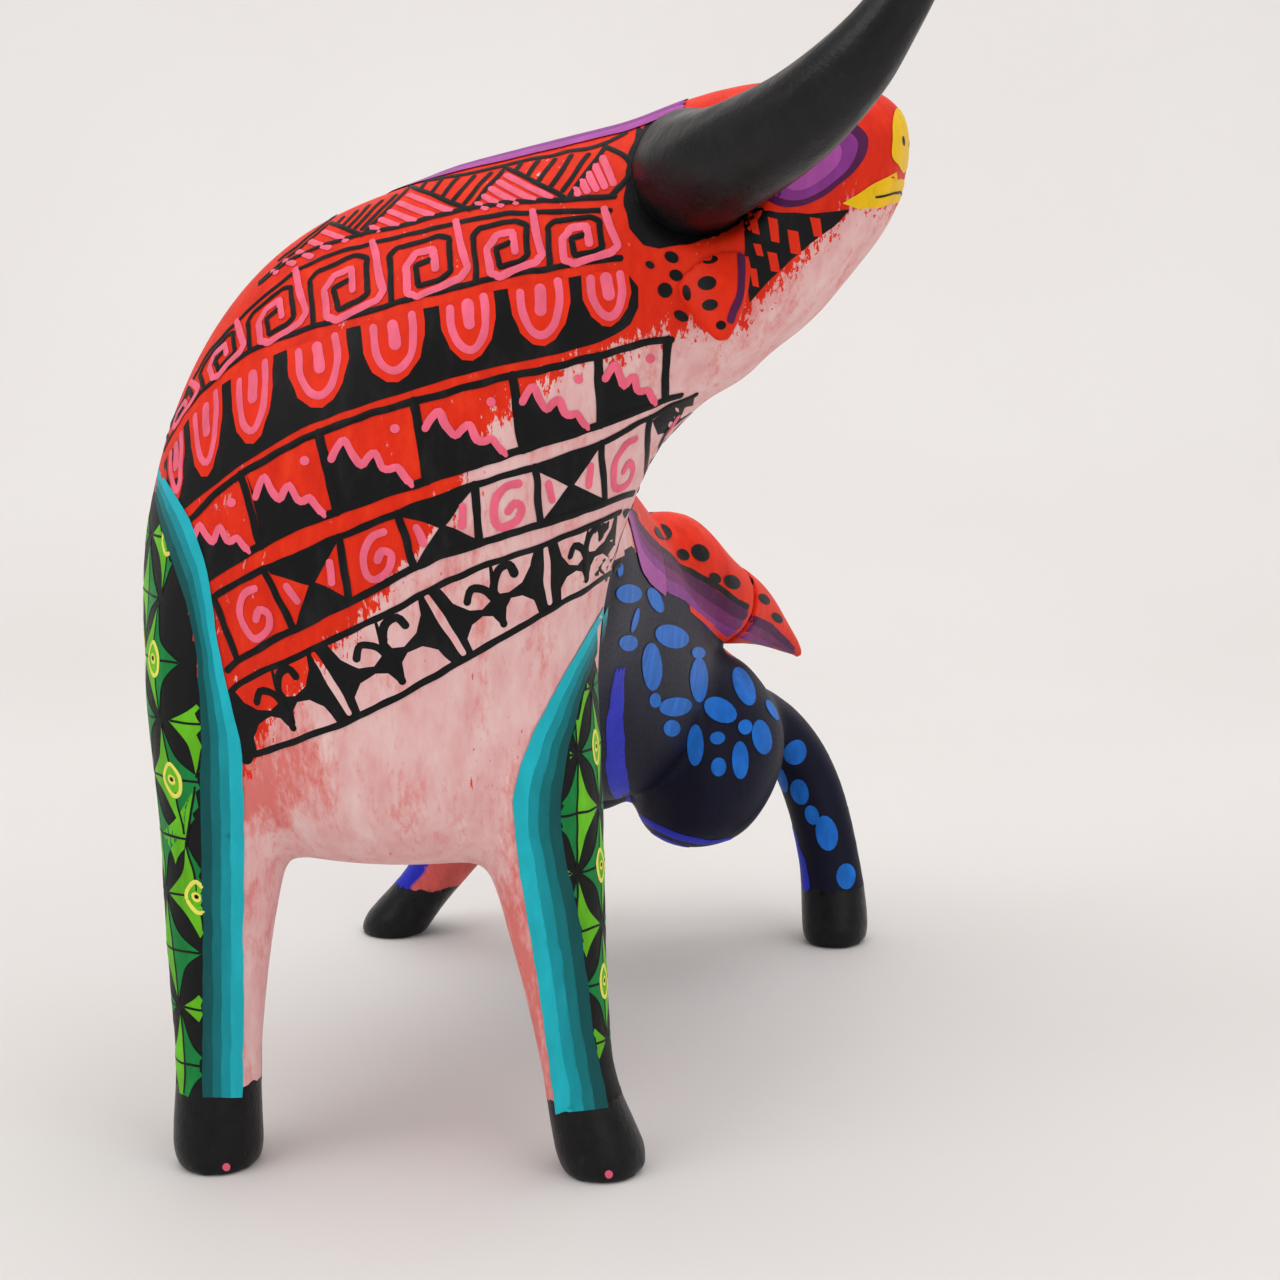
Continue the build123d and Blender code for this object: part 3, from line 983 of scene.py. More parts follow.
def stepped_square(chart, place):
    """Square parted by a pink stepped line, black below it, with a pink dab above."""
    below = [(-0.02, 0.0), (0.0, 0.3)] + STEPS[1:] + [(0.86, 1.0), (0.4, 1.0), (-0.04, 1.0)]
    fill(chart, dense(place, below), "black", 0.08)
    stroke(chart, at(place, STEPS), 1.5, "pink", 0.15)
    dot(chart, *place(0.78, 0.26), 0.95, "pink", 0.12)


def curled_square(chart, place):
    """Square with an open pink curl."""
    path = [
        (0.72, 0.2), (0.5, 0.2), (0.3, 0.38), (0.26, 0.7), (0.38, 0.86), (0.64, 0.82), (0.74, 0.62),
        (0.62, 0.5), (0.5, 0.6),
    ]
    stroke(chart, at(place, path), 1.5, "pink", 0.13)


def bow_square(chart, place):
    """Black square that leaves two facing triangles of ground, each with a pink stroke."""
    black = [
        (-0.02, 0.0), (1.02, 0.0), (1.0, 0.07), (0.55, 0.5), (1.0, 0.9), (1.02, 1.0), (-0.02, 1.0),
        (0.0, 0.93), (0.45, 0.5), (0.0, 0.1),
    ]
    fill(chart, dense(place, black), "black", 0.08)
    stroke(chart, at(place, [(0.13, 0.36), (0.17, 0.64)]), 1.5, "pink", 0.13)
    stroke(chart, at(place, [(0.84, 0.3), (0.8, 0.6)]), 1.5, "pink", 0.13)


def antler_square(chart, place):
    """Black cell with pale lobes round a curled black sprig."""
    left = [
        (0.03, 0.03), (0.3, 0.02), (0.52, 0.03), (0.47, 0.3), (0.44, 0.46), (0.34, 0.52), (0.2, 0.46),
        (0.08, 0.28),
    ]
    right = [
        (0.55, 0.03), (0.8, 0.02), (0.97, 0.03), (0.93, 0.22), (0.82, 0.4), (0.66, 0.46), (0.56, 0.42),
        (0.53, 0.3),
    ]
    dome = [
        (0.04, 0.98), (0.05, 0.78), (0.16, 0.64), (0.32, 0.6), (0.42, 0.66), (0.47, 0.8), (0.55, 0.8),
        (0.58, 0.64), (0.66, 0.55), (0.8, 0.58), (0.92, 0.72), (0.98, 0.97), (0.5, 0.98),
    ]
    for lobe in (left, right, dome):
        fill(chart, dense(place, lobe), "ground", 0.11)
    stroke(
        chart, at(place, [(0.51, 0.84), (0.5, 0.6), (0.48, 0.45), (0.42, 0.3), (0.3, 0.22), (0.22, 0.34)]),
        1.5, "black", 0.15
    )
    stroke(
        chart, at(place, [(0.49, 0.5), (0.51, 0.3), (0.6, 0.12), (0.72, 0.1), (0.76, 0.24)]), 1.6, "black",
        0.15
    )


def strip(top, low, start, end, step=1.5):
    """Outline of the stretch of a band between two u values."""
    count = max(2, int(abs(end - start) / step))
    us = [start + (end - start) * k / count for k in range(count + 1)]
    return [(u, top(u)) for u in us] + [(u, low(u)) for u in reversed(us)]


def triangle_row(chart):
    """Row 1, under the crest: facing triangles hatched black and pink."""
    zigzag = [
        (-76, 71.8), (-62, 83.5), (-55.5, 81), (-46, 90.8), (-34, 86), (-27, 94.6), (-14.4, 88.2),
        (-7, 98.6),
    ]
    stroke(chart, zigzag, 1.1, "black", 0.12, corners=True)
    stroke(chart, [(-7, 98.6), (-2.4, 96), (-2.2, 93), (-5.5, 89)], 1.2, "black", 0.12)
    for k in range(0, 6, 2):
        hatch(chart, zigzag[k + 1], zigzag[k + 2], zigzag[k], 5, 1.35, "pink")
        hatch(chart, zigzag[k + 2], zigzag[k + 3], zigzag[k + 1], 5, 1.05, "black")
    hatch(chart, (-7, 98.4), (-3.6, 91), (-14, 88.6), 5, 1.4, "pink")
    stroke(chart, BAND1_TOP[1:], 1.3, "black", 0.13)
    stroke(chart, BAND1_LOW[1:], 1.2, "black", 0.13)


def spiral_row(chart):
    """Row 2: squared spirals."""
    top, low = edge_line(BAND2_TOP), edge_line(BAND2_LOW)
    dividers = [
        (-95, -94.5), (-88.6, -87.4), (-79, -78.4), (-66.8, -65.8), (-50.6, -50.2), (-34, -33.2),
        (-19, -18.4), (-4.6, -3),
    ]
    for left, right in zip(dividers, dividers[1:]):
        place = between(top, low, left, right)
        greca(chart, place, "black", 1.15)
        greca(chart, place, "pink", 1.5)
    stroke(chart, BAND2_TOP, 1.1, "black", 0.12)
    stroke(chart, BAND2_LOW, 1.15, "black", 0.12)


def tongue_row(chart):
    """Row 3: tongues on black."""
    top, low = edge_line(BAND3_TOP), edge_line(BAND3_LOW)
    fill(chart, strip(top, low, -95, -0.4), "black", 0.08)
    tongues = [
        (-94.5, -91), (-90.4, -83.2), (-82.2, -73), (-71.4, -58), (-56.6, -42.6), (-40.8, -28.6),
        (-27, -13.6), (-12.4, -1.6),
    ]
    for start, end in tongues:
        lean = 1.4 if start > -75 else 0.4
        tongue(chart, between(top, low, (start, start + lean), (end, end + lean)))


def stepped_row(chart):
    """Row 4: squares with a stepped line."""
    top, low = edge_line(BAND4_TOP), edge_line(BAND4_LOW)
    squares = [
        ((-90.6, -88), (-80.4, -76.4)), ((-78.6, -74.6), (-65, -61.4)), ((-63.2, -59.6), (-46, -43.4)),
        ((-44.2, -41.6), (-26.4, -24.4)), ((-24.6, -22.8), (-9.2, -8.4)), ((-7.4, -6.8), (4.8, 4.4)),
    ]
    for left, right in squares:
        place = between(top, low, left, right)
        stepped_square(chart, place)
        stroke(chart, at(place, [(1.05, 0.0), (1.05, 0.5), (1.05, 1.0)]), 1.7, "black", 0.12)
    stroke(chart, BAND4_TOP, 1.4, "black", 0.13)
    stroke(chart, BAND4_LOW, 1.5, "black", 0.13)


def curl_row(chart):
    """Row 5: curls between bow-tie squares."""
    top, low = edge_line(BAND5_TOP), edge_line(BAND5_LOW)
    cells = [
        ((-84.6, -79.6), (-75.6, -69.6)), ((-74.4, -68.2), (-60.6, -58.6)), ((-59.4, -57), (-49, -45.6)),
        ((-47.8, -44.2), (-33.6, -32.8)), ((-32.4, -31.8), (-21.4, -20.4)), ((-20.2, -19.4), (-8.2, -7.6)),
        ((-7.2, -7.6), (1.6, 0.2)),
    ]
    for k, (left, right) in enumerate(cells):
        place = between(top, low, left, right)
        (bow_square if k % 2 else curled_square)(chart, place)
        stroke(chart, at(place, [(1.04, 0.0), (1.04, 0.5), (1.04, 1.0)]), 1.5, "black", 0.12)
    stroke(chart, at(between(top, low, *cells[0]), [(-0.08, 0.0), (-0.08, 1.0)]), 1.5, "black", 0.12)
    fill(
        chart, straight([(2.4, 44), (11, 49.6), (10, 45.4), (5.4, 41.6), (3.6, 41)], 1.5, True), "black",
        0.09
    )
    stroke(chart, [(5.4, 42), (3, 36.5), (0.6, 30)], 1.5, "black", 0.12)
    stroke(chart, [(7.6, 44.6), (5.2, 41)], 1.2, "pink", 0.15)
    stroke(chart, BAND5_TOP, 1.3, "black", 0.13)
    stroke(chart, BAND5_LOW, 1.4, "black", 0.13)


def sprig_row(chart):
    """Row 6, lowest on the chest: sprigs on pale ground."""
    top, low = edge_line(BAND6_TOP), edge_line(BAND6_LOW)
    fill(chart, strip(top, low, -82.6, -4.6), "black", 0.08)
    cells = [
        ((-81.8, -77), (-66.6, -60)), ((-63.4, -56.4), (-44, -36.8)), ((-41, -33.6), (-20.8, -19.8)),
        ((-16.8, -16.2), (-5, -5.6)),
    ]
    for left, right in cells:
        antler_square(chart, between(top, low, left, right))
    for start, end in (
        ((-65.2, -3), (-58.2, -14.6)), ((-42.6, 8.6), (-35.4, -2.6)), ((-19, 18.4), (-18.2, 7.6)),
    ):
        stroke(chart, [start, end], 1.5, "ground", 0.11, taper=0.3)
    stroke(chart, BAND6_TOP, 1.25, "black", 0.13)
    stroke(chart, BAND6_LOW, 1.35, "black", 0.13)
    dot(chart, -78.6, -23.6, 1.3, "black", 0.13)


for chart in (seen, seen_far):
    for paint_row in (triangle_row, spiral_row, tongue_row, stepped_row, curl_row, sprig_row):
        paint_row(chart)


# ---------------------------------------------------------------- dorsal stripe

def trail(points, width, colour, shift=0.0, height=0.12, surface=None, body=FIGURE, slot="painted_body"):
    """Wide stroke laid along a path in space; shift moves it sideways."""
    tree = surface or SKIN
    samples = curve(points, 1.2)
    line = []
    for i, sample in enumerate(samples):
        ahead = Vector(samples[min(i + 1, len(samples) - 1)]) - Vector(samples[max(i - 1, 0)])
        found, normal, index, distance = tree.find_nearest(Vector(sample))
        side = normal.cross(ahead)
        if side.length > 0 and shift:
            side.normalize()
            wander = 0.4 * noise.noise(Vector(sample) * 0.1)
            found, normal, index, distance = tree.find_nearest(found + side * (shift + wander))
        line.append((found, normal))
    ribbon(line, width, colour, height, False, 0.0, body, slot, 0.03, surface)


# The stripe runs down the nape, crosses the withers and follows the left flank to the tail.
# It is one lilac paint all along; the magenta and plum laid from the withers back are painted shade on it.
SPINE = [
    (46, -52.5, 209.5), (30, -53.5, 205), (12, -54.5, 200), (1, -53, 196), (-6, -46, 188), (-8, -36, 174),
    (-2, -29, 162), (8, -26, 153), (18, -24, 142), (26, -22, 130), (30, -14, 118.5), (29.1, 9.5, 109.5),
    (28.6, 33.4, 102.8), (30.2, 49.3, 97.1), (32.8, 61.2, 91.6), (35.4, 72, 87.5),
]
NAPE_TONES = (
    (-9, "purple1"), (-6, "purple1"), (-3, "purple2"), (0, "purple1"), (3, "purple1"), (6, "purple2"),
    (9, "purple1"),
)
for shift, colour in NAPE_TONES:
    trail(SPINE[:5], 3.6, colour, shift, 0.28)
# Withers: banded lilac to plum across its width, the magenta and plum bands being painted shade.
for shift, colour in (
    (-4.6, "purple1"), (-2.3, "purple1"), (0, "purple2"), (2.3, "purple4"), (4.6, "purple3"),
):
    trail(SPINE[4:12], 2.9, colour, shift, 0.3)
# Rump: purple, magenta and plum bands, painted shade on the lilac stripe paint, with a black line beside
# them.
for shift, colour in ((-2.8, "purple2"), (0, "purple4"), (3, "purple3")):
    trail(SPINE[10:], 3.5, colour, shift, 0.14)
trail(SPINE[10:], 1.6, "black", 5.6)
for u, v, radius in (
    (4.6, 21.6, 1.9), (12, 17.4, 2.0), (18.4, 11.6, 1.8), (-2, 25, 1.6), (8.6, 17, 1.4), (15, 12.4, 1.3),
):
    dot(seen, u, v, radius, "black", 0.16, oval=0.75, tilt=-0.6)
stroke(seen, [(10, 6.4), (14, 3), (18, -0.6)], 1.8, "red", 0.13)


# ---------------------------------------------------------------- front legs

def blend_curves(first, second, fraction, count=46):
    """Curve part way between two curves."""
    def even(points):
        samples = np.array(curve(points, 1.0))
        length = np.concatenate([[0], np.cumsum(np.linalg.norm(np.diff(samples, axis=0), axis=1))])
        marks = np.linspace(0, length[-1], count)
        return np.stack([np.interp(marks, length, samples[:, k]) for k in (0, 1)], 1)
    return even(first) * (1 - fraction) + even(second) * fraction


def leg_back(name):
    """Main elevation drawing of a front leg reflected to the back of the leg."""
    def chart(u, v):
        hit = seen(u, v)
        if hit is None or hit[0].z > 60:
            return None
        centre = leg_axis(name, hit[0].z)
        flipped = Vector((hit[0].x, 2 * centre.y - hit[0].y, hit[0].z))
        hit = cast(SKIN, flipped + Vector((0, 14, 0)), (0, -1, 0))
        if hit is None or (hit[0] - flipped).length > 7:
            return None
        return hit
    return chart


TONES = [(0.0, 0.33, "teal1"), (0.31, 0.57, "teal2"), (0.55, 0.8, "teal3"), (0.78, 1.06, "teal4")]
for name, inner, outer in (
    ("front_right", RIGHT_BORDER_IN, RIGHT_BORDER_OUT), ("front_left", LEFT_BORDER_IN, LEFT_BORDER_OUT)
):
    for chart in (seen, leg_back(name)):
        for start, end, tone in TONES:
            first = blend_curves(inner, outer, start)
            second = blend_curves(inner, outer, end)
            fill(
                chart, [tuple(p) for p in first] + [tuple(p) for p in second[::-1]], tone,
                0.21 + 0.02 * (1 - start), 1.4
            )


def leg_sheet(name):
    """Chart of the outer face of a front leg: arc length from its outermost line, and height."""
    chart = round_leg(name)
    side = LEGS[name][0]
    border = np.array(RIGHT_BORDER_OUT if side < 0 else LEFT_BORDER_OUT, float)

    def place(arc, z):
        radius = float(np.interp(z, [5, 32, 62, 90, 106, 130], [9.2, 9.4, 12.8, 16.5, 19, 17]))
        hit = chart(math.degrees(arc / radius), z)
        if hit is None:
            return None
        point = np.array(hit[0][:])
        axis_y = leg_axis(name, z).y
        if point[1] > axis_y:
            point[1] = 2 * axis_y - point[1]
        u, v = elevation_of(point)
        if (u - float(np.interp(v, border[:, 1], border[:, 0]))) * side < 0.2 or z < HOOF_TOP - 0.5:
            return None
        return hit
    return place


def facet_diamond(chart, arc, z, half_width, half_height, eye):
    """Green diamond with hollow sides, light and dark facets, some with a yellow eye."""
    w, h = half_width, half_height
    bend = 0.37
    corners = [(0, h), (w, 0), (0, -h), (-w, 0)]
    for k, tone in enumerate(("green2", "green2", "green1", "green1")):
        a, b = corners[k], corners[(k + 1) % 4]
        middle = ((a[0] + b[0]) * bend, (a[1] + b[1]) * bend)
        facet = [(0.0, 0.0)] + [tuple(p) for p in curve([a, middle, b], 1.0)]
        outline = [(arc + 0.95 * px, z + 0.95 * py) for px, py in facet]
        fill(chart, straight(outline, 1.0, True), tone, 0.09, 1.2, 0.2)
    stroke(chart, [(arc, z - h * 0.95), (arc + 0.3, z), (arc, z + h * 0.95)], 0.5, "black", 0.12, lift=0.03)
    stroke(chart, [(arc - w * 0.9, z), (arc + w * 0.9, z)], 0.5, "black", 0.12, lift=0.03)
    if eye:
        almond = [
            (arc - 2.2, z - 0.4), (arc - 0.9, z + 2.2), (arc + 0.6, z + 3.1), (arc + 2.1, z + 0.8),
            (arc + 1.4, z - 2.3), (arc - 0.4, z - 3.1),
        ]
        fill(chart, curve(almond, 0.8, True), "green1", 0.14, 0.9, 0.1)
        stroke(chart, almond, 0.85, "yellow", 0.17, closed=True, hand=0.15)
        dot(chart, arc, z, 1.0, "yellow", 0.17)
        dot(chart, arc + 0.1, z + 0.1, 0.45, "black", 0.24)


for name, start, top in (("front_right", 22, 132), ("front_left", 27, 106)):
    sheet = leg_sheet(name)
    for column, arc in enumerate((-24, -15.5, -7, 1.5, 10, 18.5)):
        height = start + (column % 2) * 11.5
        while height < top:
            facet_diamond(sheet, arc, height, 7.8, 11, eye=height > 34 and column % 2 == 1)
            height += 23
for u, v in ((-82.8, -105.4), (-6.2, -106.8)):
    dot(seen, u, v, 0.8, "pink", 0.1)

# ---------------------------------------------------------------- head

EYE_RIM = [
    (45, 101.5), (45.4, 98), (42.4, 93.4), (35.4, 88.2), (30, 86.6), (24, 88.6), (21.5, 92.5), (26, 98),
    (33, 102.6), (40, 104),
]
COLLAR = [
    (-3, 91), (-3.2, 87), (-2, 82.4), (0.6, 79), (4, 78.4), (9, 78.8), (15, 80.4), (19.8, 83.4), (22, 88),
    (20, 96), (12, 103), (6, 106.4), (0, 104), (-2.4, 97),
]
for chart in (seen, seen_far):
    fill(chart, straight(COLLAR, 1.2, True), "black", 0.1, slot="painted_head", hand=0.7)
    for shrink, colour, height in (
        (1.0, "purple3", 0.1), (0.84, "purple2", 0.13), (0.6, "purple1", 0.16), (0.2, "black", 0.19),
    ):
        ring = [(32.8 + (u - 32.8) * shrink, 95 + (v - 95) * shrink) for u, v in EYE_RIM]
        fill(chart, curve(ring, 1.2, True), colour, height, slot="painted_head")
    cheek = [
        (21, 87.2), (26, 85.8), (34, 85.2), (42.2, 86), (38.6, 82.6), (34, 79.4), (27.6, 73.6),
        (21.8, 67.6), (21, 74),
    ]
    fill(chart, straight(cheek, 1.4, True), "black", 0.1, slot="painted_head")
    for u, v, w, h in (
        (22.8, 83.3, 0.8, 2.2), (26.7, 82, 0.95, 2.6), (30.8, 79.6, 1.1, 2.5), (35.2, 82.6, 1.0, 2.0),
        (23.6, 78, 0.75, 1.3), (26.6, 75.6, 1.0, 2.1), (22.8, 72.6, 0.75, 2.0),
    ):
        quad = [
            (u - w - 0.3, v + h), (u + w - 0.3, v + h * 0.85), (u + w + 0.3, v - h),
            (u - w + 0.5, v - h * 0.85),
        ]
        fill(chart, straight(quad, 1.0, True), "red", 0.15, 1.2, 0.2, slot="painted_head")
    lips = [
        (40.4, 87.2), (44.4, 89.8), (48, 92), (51.2, 93.6), (51.6, 91), (50.8, 87.8), (47.6, 86.8),
        (44, 86.2),
    ]
    fill(chart, straight(lips, 1.2, True), "gold", 0.14, slot="painted_head")
    for u, v, radius, oval in (
        (6.3, 76.6, 1.5, 0.7), (5, 70, 1.5, 1.0), (7.2, 73, 1.4, 0.8), (8.2, 64.8, 1.6, 0.6),
        (2, 75, 1.0, 0.7),
    ):
        dot(chart, u, v, radius, "black", 0.12, slot="painted_head", oval=oval, tilt=-0.5)


def muzzle(across, z):
    """Point of the front of the muzzle; across runs to the bull's right from the middle plane."""
    side = Vector(HEAD_NORMAL)
    ahead = Vector((HEAD_NORMAL[1], -HEAD_NORMAL[0], 0))
    origin = Vector((HEAD_POINT[0], HEAD_POINT[1], 0)) - side * across + Vector((0, 0, z)) + ahead * 60
    return cast(SKIN, origin, -ahead)


nose_pad = [
    (-9.4, 198), (-8, 203.4), (-4, 206.6), (0, 207.4), (4, 206.6), (8, 203.4), (9.4, 198), (5, 196),
    (0, 195.2), (-5, 196),
]
fill(muzzle, curve(nose_pad, 1.2, True), "gold", 0.14, 1.2, slot="painted_head")
for side in (-1, 1):
    dot(muzzle, 4 * side, 201, 1.2, "black", 0.18, slot="painted_head", oval=0.7, tilt=0.5 * side)
for z, width in ((190.4, 2.6), (192.4, 2.6)):
    stroke(
        muzzle, [(-11, z - 1), (-5, z), (0, z + 0.3), (5, z), (11, z - 1)], width, "gold", 0.13,
        slot="painted_head"
    )
# Black line between the lip bands: painted shade where the lips part.
stroke(
    muzzle, [(-11, 190.4), (-5, 191.2), (0, 191.5), (5, 191.2), (11, 190.4)], 0.5, "black", 0.24,
    slot="painted_head", lift=0.02
)


# ---------------------------------------------------------------- hindquarters

def right_side(y, z):
    """Point of the right flank straight across from (y, z)."""
    hit = cast(SKIN, (-200, y, z), (1, 0, 0))
    if hit is None or hit[0].x > 12:
        return None
    return hit


# Dabs of blue: u, v, half width, half height, tilt.
DABS = [
    (2.3, -5.3, 2.0, 4.8, 0.05), (6.3, 0.7, 3.5, 2.3, -0.3), (11.7, -8, 1.8, 4.5, 0),
    (7, -13.3, 3.3, 1.9, 0.1),
    (6.3, -17.6, 1.7, 1.7, 0), (16, -14, 3.6, 2.3, -0.5), (11, -21, 1.7, 4.2, 0), (15.7, -25.4, 1.5, 1.9, 0),
    (20, -24, 1.7, 3.8, 0), (20.7, -9.3, 1.9, 4.1, 0.4), (24.3, -19.4, 1.9, 3.5, 0.2),
    (28, -27.3, 1.9, 3.5, 0.2),
    (31, -22.5, 2.3, 2.6, 0), (-1, 4, 3.4, 2.4, 0.1), (-2.3, 9.3, 2.6, 1.9, 0), (3, 8, 1.3, 2.8, 0.5),
    (-4, 14, 2.0, 1.3, 0), (-2.4, -0.6, 1.9, 1.6, 0), (26.5, -14, 3.2, 2.2, -0.4),
    (37.3, -38.7, 2.2, 3.6, 0.2),
    (41.2, -47.3, 1.9, 2.6, 0), (32, -30.4, 1.8, 2.6, 0.3), (3, -12, 1.2, 1.5, 0), (11.6, -2.6, 1.4, 1.2, 0),
    (15.4, -19.6, 1.5, 1.3, 0), (21, -17.4, 1.4, 1.5, 0), (34.4, -35, 1.4, 2.0, 0.3),
]


def tangent_chart(point, normal):
    """Chart of the skin round one spot, in elevation millimetres."""
    sideways = Vector((0, 0, 1)).cross(normal).normalized()
    upwards = normal.cross(sideways)
    reach = (point - Vector(EYE)).length / PLANE_DISTANCE

    def chart(x, y):
        start = point + (sideways * x + upwards * y) * reach + normal * 7
        hit = cast(SKIN, start, -normal)
        if hit is None or (hit[0] - start).length > 16:
            return None
        return hit

    return chart


FOLD = 10.5


def blue_dab(u, v, across, tall, tilt):
    """Dab drawn on the elevation, or laid flat on the skin where the elevation crosses a fold."""
    rim = []
    for k in range(12):
        x, y = 1.15 * across * math.cos(math.pi * k / 6), 1.15 * tall * math.sin(math.pi * k / 6)
        rim.append(
            seen(u + x * math.cos(tilt) - y * math.sin(tilt), v + x * math.sin(tilt) + y * math.cos(tilt))
        )
    folded = None in rim or max((rim[k][0] - rim[k - 1][0]).length for k in range(12)) > FOLD
    if folded:
        dot(tangent_chart(*seen(u, v)), 0, 0, across, "blue1", 0.16, oval=tall / across, tilt=tilt)
    else:
        dot(seen, u, v, across, "blue1", 0.16, oval=tall / across, tilt=tilt)


for dab in DABS:
    blue_dab(*dab)
for low in (0.0, 1.6, 3.2):
    rim_line = [
        (-3.6 - low * 0.4, -6), (-4.4 - low * 0.4, -18), (-4 - low * 0.3, -26 - low), (-1, -34 - low),
        (5, -38.4 - low), (12, -40.4 - low), (18, -40 - low),
    ]
    stroke(seen, rim_line, 3.4, "blue2", 0.1, taper=0.5)
stroke(seen, [(28.4, -31.6), (30.4, -37), (32.2, -44), (33.2, -49)], 3.6, "blue2", 0.1)

# Right flank: the same stripe, rim and rosettes.
for y, z in ((0, 102), (19, 96), (38, 88), (57, 78), (9, 83), (29, 76), (48, 68), (67, 63), (84, 46)):
    for k in range(6):
        direction = math.radians(60 * k + 20)
        spot_y, spot_z = y + 5.3 * math.cos(direction), z + 5.3 * math.sin(direction)
        dot(right_side, spot_y, spot_z, 3.2, "blue1", 0.16, oval=0.5, tilt=direction)
for y, z in ((82, 33), (86, 25)):
    dot(right_side, y, z, 1.8, "blue1", 0.16, oval=1.4)
# The stripe on this flank takes the rump's purple, magenta and plum, painted shade on the lilac stripe
# paint, with a black line beside them.
for angle, colour, width in (
    (-61.5, "purple2", 3.2), (-57, "purple4", 3.2), (-52.5, "purple3", 3.2), (-48.6, "black", 1.5),
):
    path = [(0.35 + 0.35 * k, angle + 1.2 * math.sin(1.7 * k)) for k in range(13)]
    stroke(round_barrel, path, width, colour, 0.14, scale=(29, 0.62))
for shift in (-1.6, 1.4):
    path = [
        (-20 + shift, 132), (-17 + shift, 118), (-12 + shift, 104), (-8 + shift, 88), (-4 + shift, 74),
        (2 + shift, 62),
    ]
    stroke(right_side, path, 3.4, "blue2", 0.1)

# Black patches on the red back: short brush marks, smaller towards the tail.
for row, angle in enumerate((-38, -20, -3, 14, 30)):
    for k in range(6 if angle < 20 else 2):
        t = 0.95 + 0.62 * k + 0.31 * (row % 2)
        sway = noise.noise(Vector((t * 3, angle * 0.3, 1)))
        spot_t, spot_angle, size = t + 0.1 * sway, angle + 6 * sway, 4.2 - 1.6 * abs(sway) - 0.25 * t
        mark = []
        for j in range(12):
            around = 2 * math.pi * j / 12
            reach = size * (
                1 + 0.35 * noise.noise(Vector((math.cos(around), math.sin(around), t * 2 + angle)))
            )
            x, y = reach * math.cos(around), 0.5 * reach * math.sin(around)
            turn = 0.5 + sway
            mark.append((
                spot_t + (x * math.cos(turn) - y * math.sin(turn)) / 29,
                spot_angle + (x * math.sin(turn) + y * math.cos(turn)) / 0.62,
            ))
        fill(round_barrel, mark, "black", 0.14, 1.0, 0.3, scale=(29, 0.62))

# ---------------------------------------------------------------- plug-in pieces

def smooth_copy(name, node, rounds, voxel, material, body):
    """Rounded visual copy of a small CAD node."""
    mesh = remeshed([node], voxel)
    points = smoothed(mesh, rounds, lambda p: np.full(len(p), 0.4))
    faces = [list(polygon.vertices) for polygon in mesh.polygons]
    obj = new_object(name, points, faces, [material], body)
    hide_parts(node)
    return BVHTree.FromPolygons([tuple(p) for p in points], faces)


def horn_mesh(mirrored):
    """Tapered horn with shallow lengthwise knife facets; its seat end is flat."""
    rings, around = 110, 72
    points, faces = [], []
    side = None
    for k in range(rings):
        position = (len(HORN) - 1) * k / (rings - 1)
        row = catmull(HORN, position)
        ahead = catmull(HORN, position + 0.05)
        behind = catmull(HORN, position - 0.05)
        axis = Vector(ahead[:3] - behind[:3]).normalized()
        if k == 0:
            axis = (Vector(HORN[1][:3]) - Vector(HORN[0][:3])).normalized()
        if side is None:
            side = Vector((0, 0, 1)).cross(axis).normalized()
        else:
            side = (side - axis * side.dot(axis)).normalized()
        up = axis.cross(side)
        tip = math.sqrt(max(0.02, 1 - max(0.0, (position - 8.8) / 0.2) ** 2))
        for j in range(around):
            angle = 2 * math.pi * j / around
            flat = noise.noise(Vector((math.cos(angle) * 2.2, math.sin(angle) * 2.2, position * 0.55)))
            fine = noise.noise(Vector((math.cos(angle) * 6, math.sin(angle) * 6, position * 1.6)))
            radius = row[3] * (0.985 + 0.022 * flat + 0.008 * fine) * tip
            spot = Vector(row[:3]) + side * (radius * math.cos(angle)) + up * (radius * math.sin(angle))
            points.append(spot[:])
    for k in range(rings - 1):
        for j in range(around):
            a, b = k * around + j, k * around + (j + 1) % around
            faces.append([a, b, b + around, a + around])
    points.append(catmull(HORN, 0)[:3])
    points.append(catmull(HORN, len(HORN) - 1)[:3])
    for j in range(around):
        faces.append([len(points) - 2, (j + 1) % around, j])
        faces.append([len(points) - 1, (rings - 1) * around + j, (rings - 1) * around + (j + 1) % around])
    points = np.array([list(p) for p in points])
    if mirrored:
        points = mirror_head(points)
        faces = [face[::-1] for face in faces]
    return points, faces


for side, mirrored in (("right", False), ("left", True)):
    points, faces = horn_mesh(mirrored)
    horn = new_object("carved_horn_" + side, points, faces, [HORN_BLACK], side + "_horn")
    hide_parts("horn_" + side)

EAR_SPOTS = [
    (9.4, 69.4, 0.8, 2.0), (13.4, 71.4, 1.9, 0.75), (14, 67, 1.6, 0.7), (14, 76, 1.6, 0.5),
    (16.2, 63, 1.0, 0.9),
    (12, 79, 1.5, 0.5), (10, 74.6, 1.3, 0.7), (16.6, 79, 1.4, 0.4),
]


def far_ear(u, v):
    """The drawing of the near ear reflected to the other ear."""
    hit = near_ear(u, v)
    if hit is None:
        return None
    found, normal, index, distance = ear_tree.find_nearest(Vector(mirror_head(np.array(hit[0][:]))))
    return found, normal


for side in ("right", "left"):
    ear_tree = smooth_copy(
        "carved_ear_" + side, "ear_" + side, 3, 0.5, PAINTS["red"], FIGURE
    )

    if side == "right":
        chart = near_ear = chart_on(ear_tree)
    else:
        chart = far_ear
    for u, v, radius, oval in EAR_SPOTS:
        dot(chart, u, v, radius, "black", 0.1, slot="painted_ear", oval=oval, tilt=0.15)
    stroke(
        chart, [(19, 81), (20.4, 76), (19.8, 69), (18.2, 64)], 1.5, "purple3", 0.13, slot="painted_ear",
        surface=ear_tree
    )

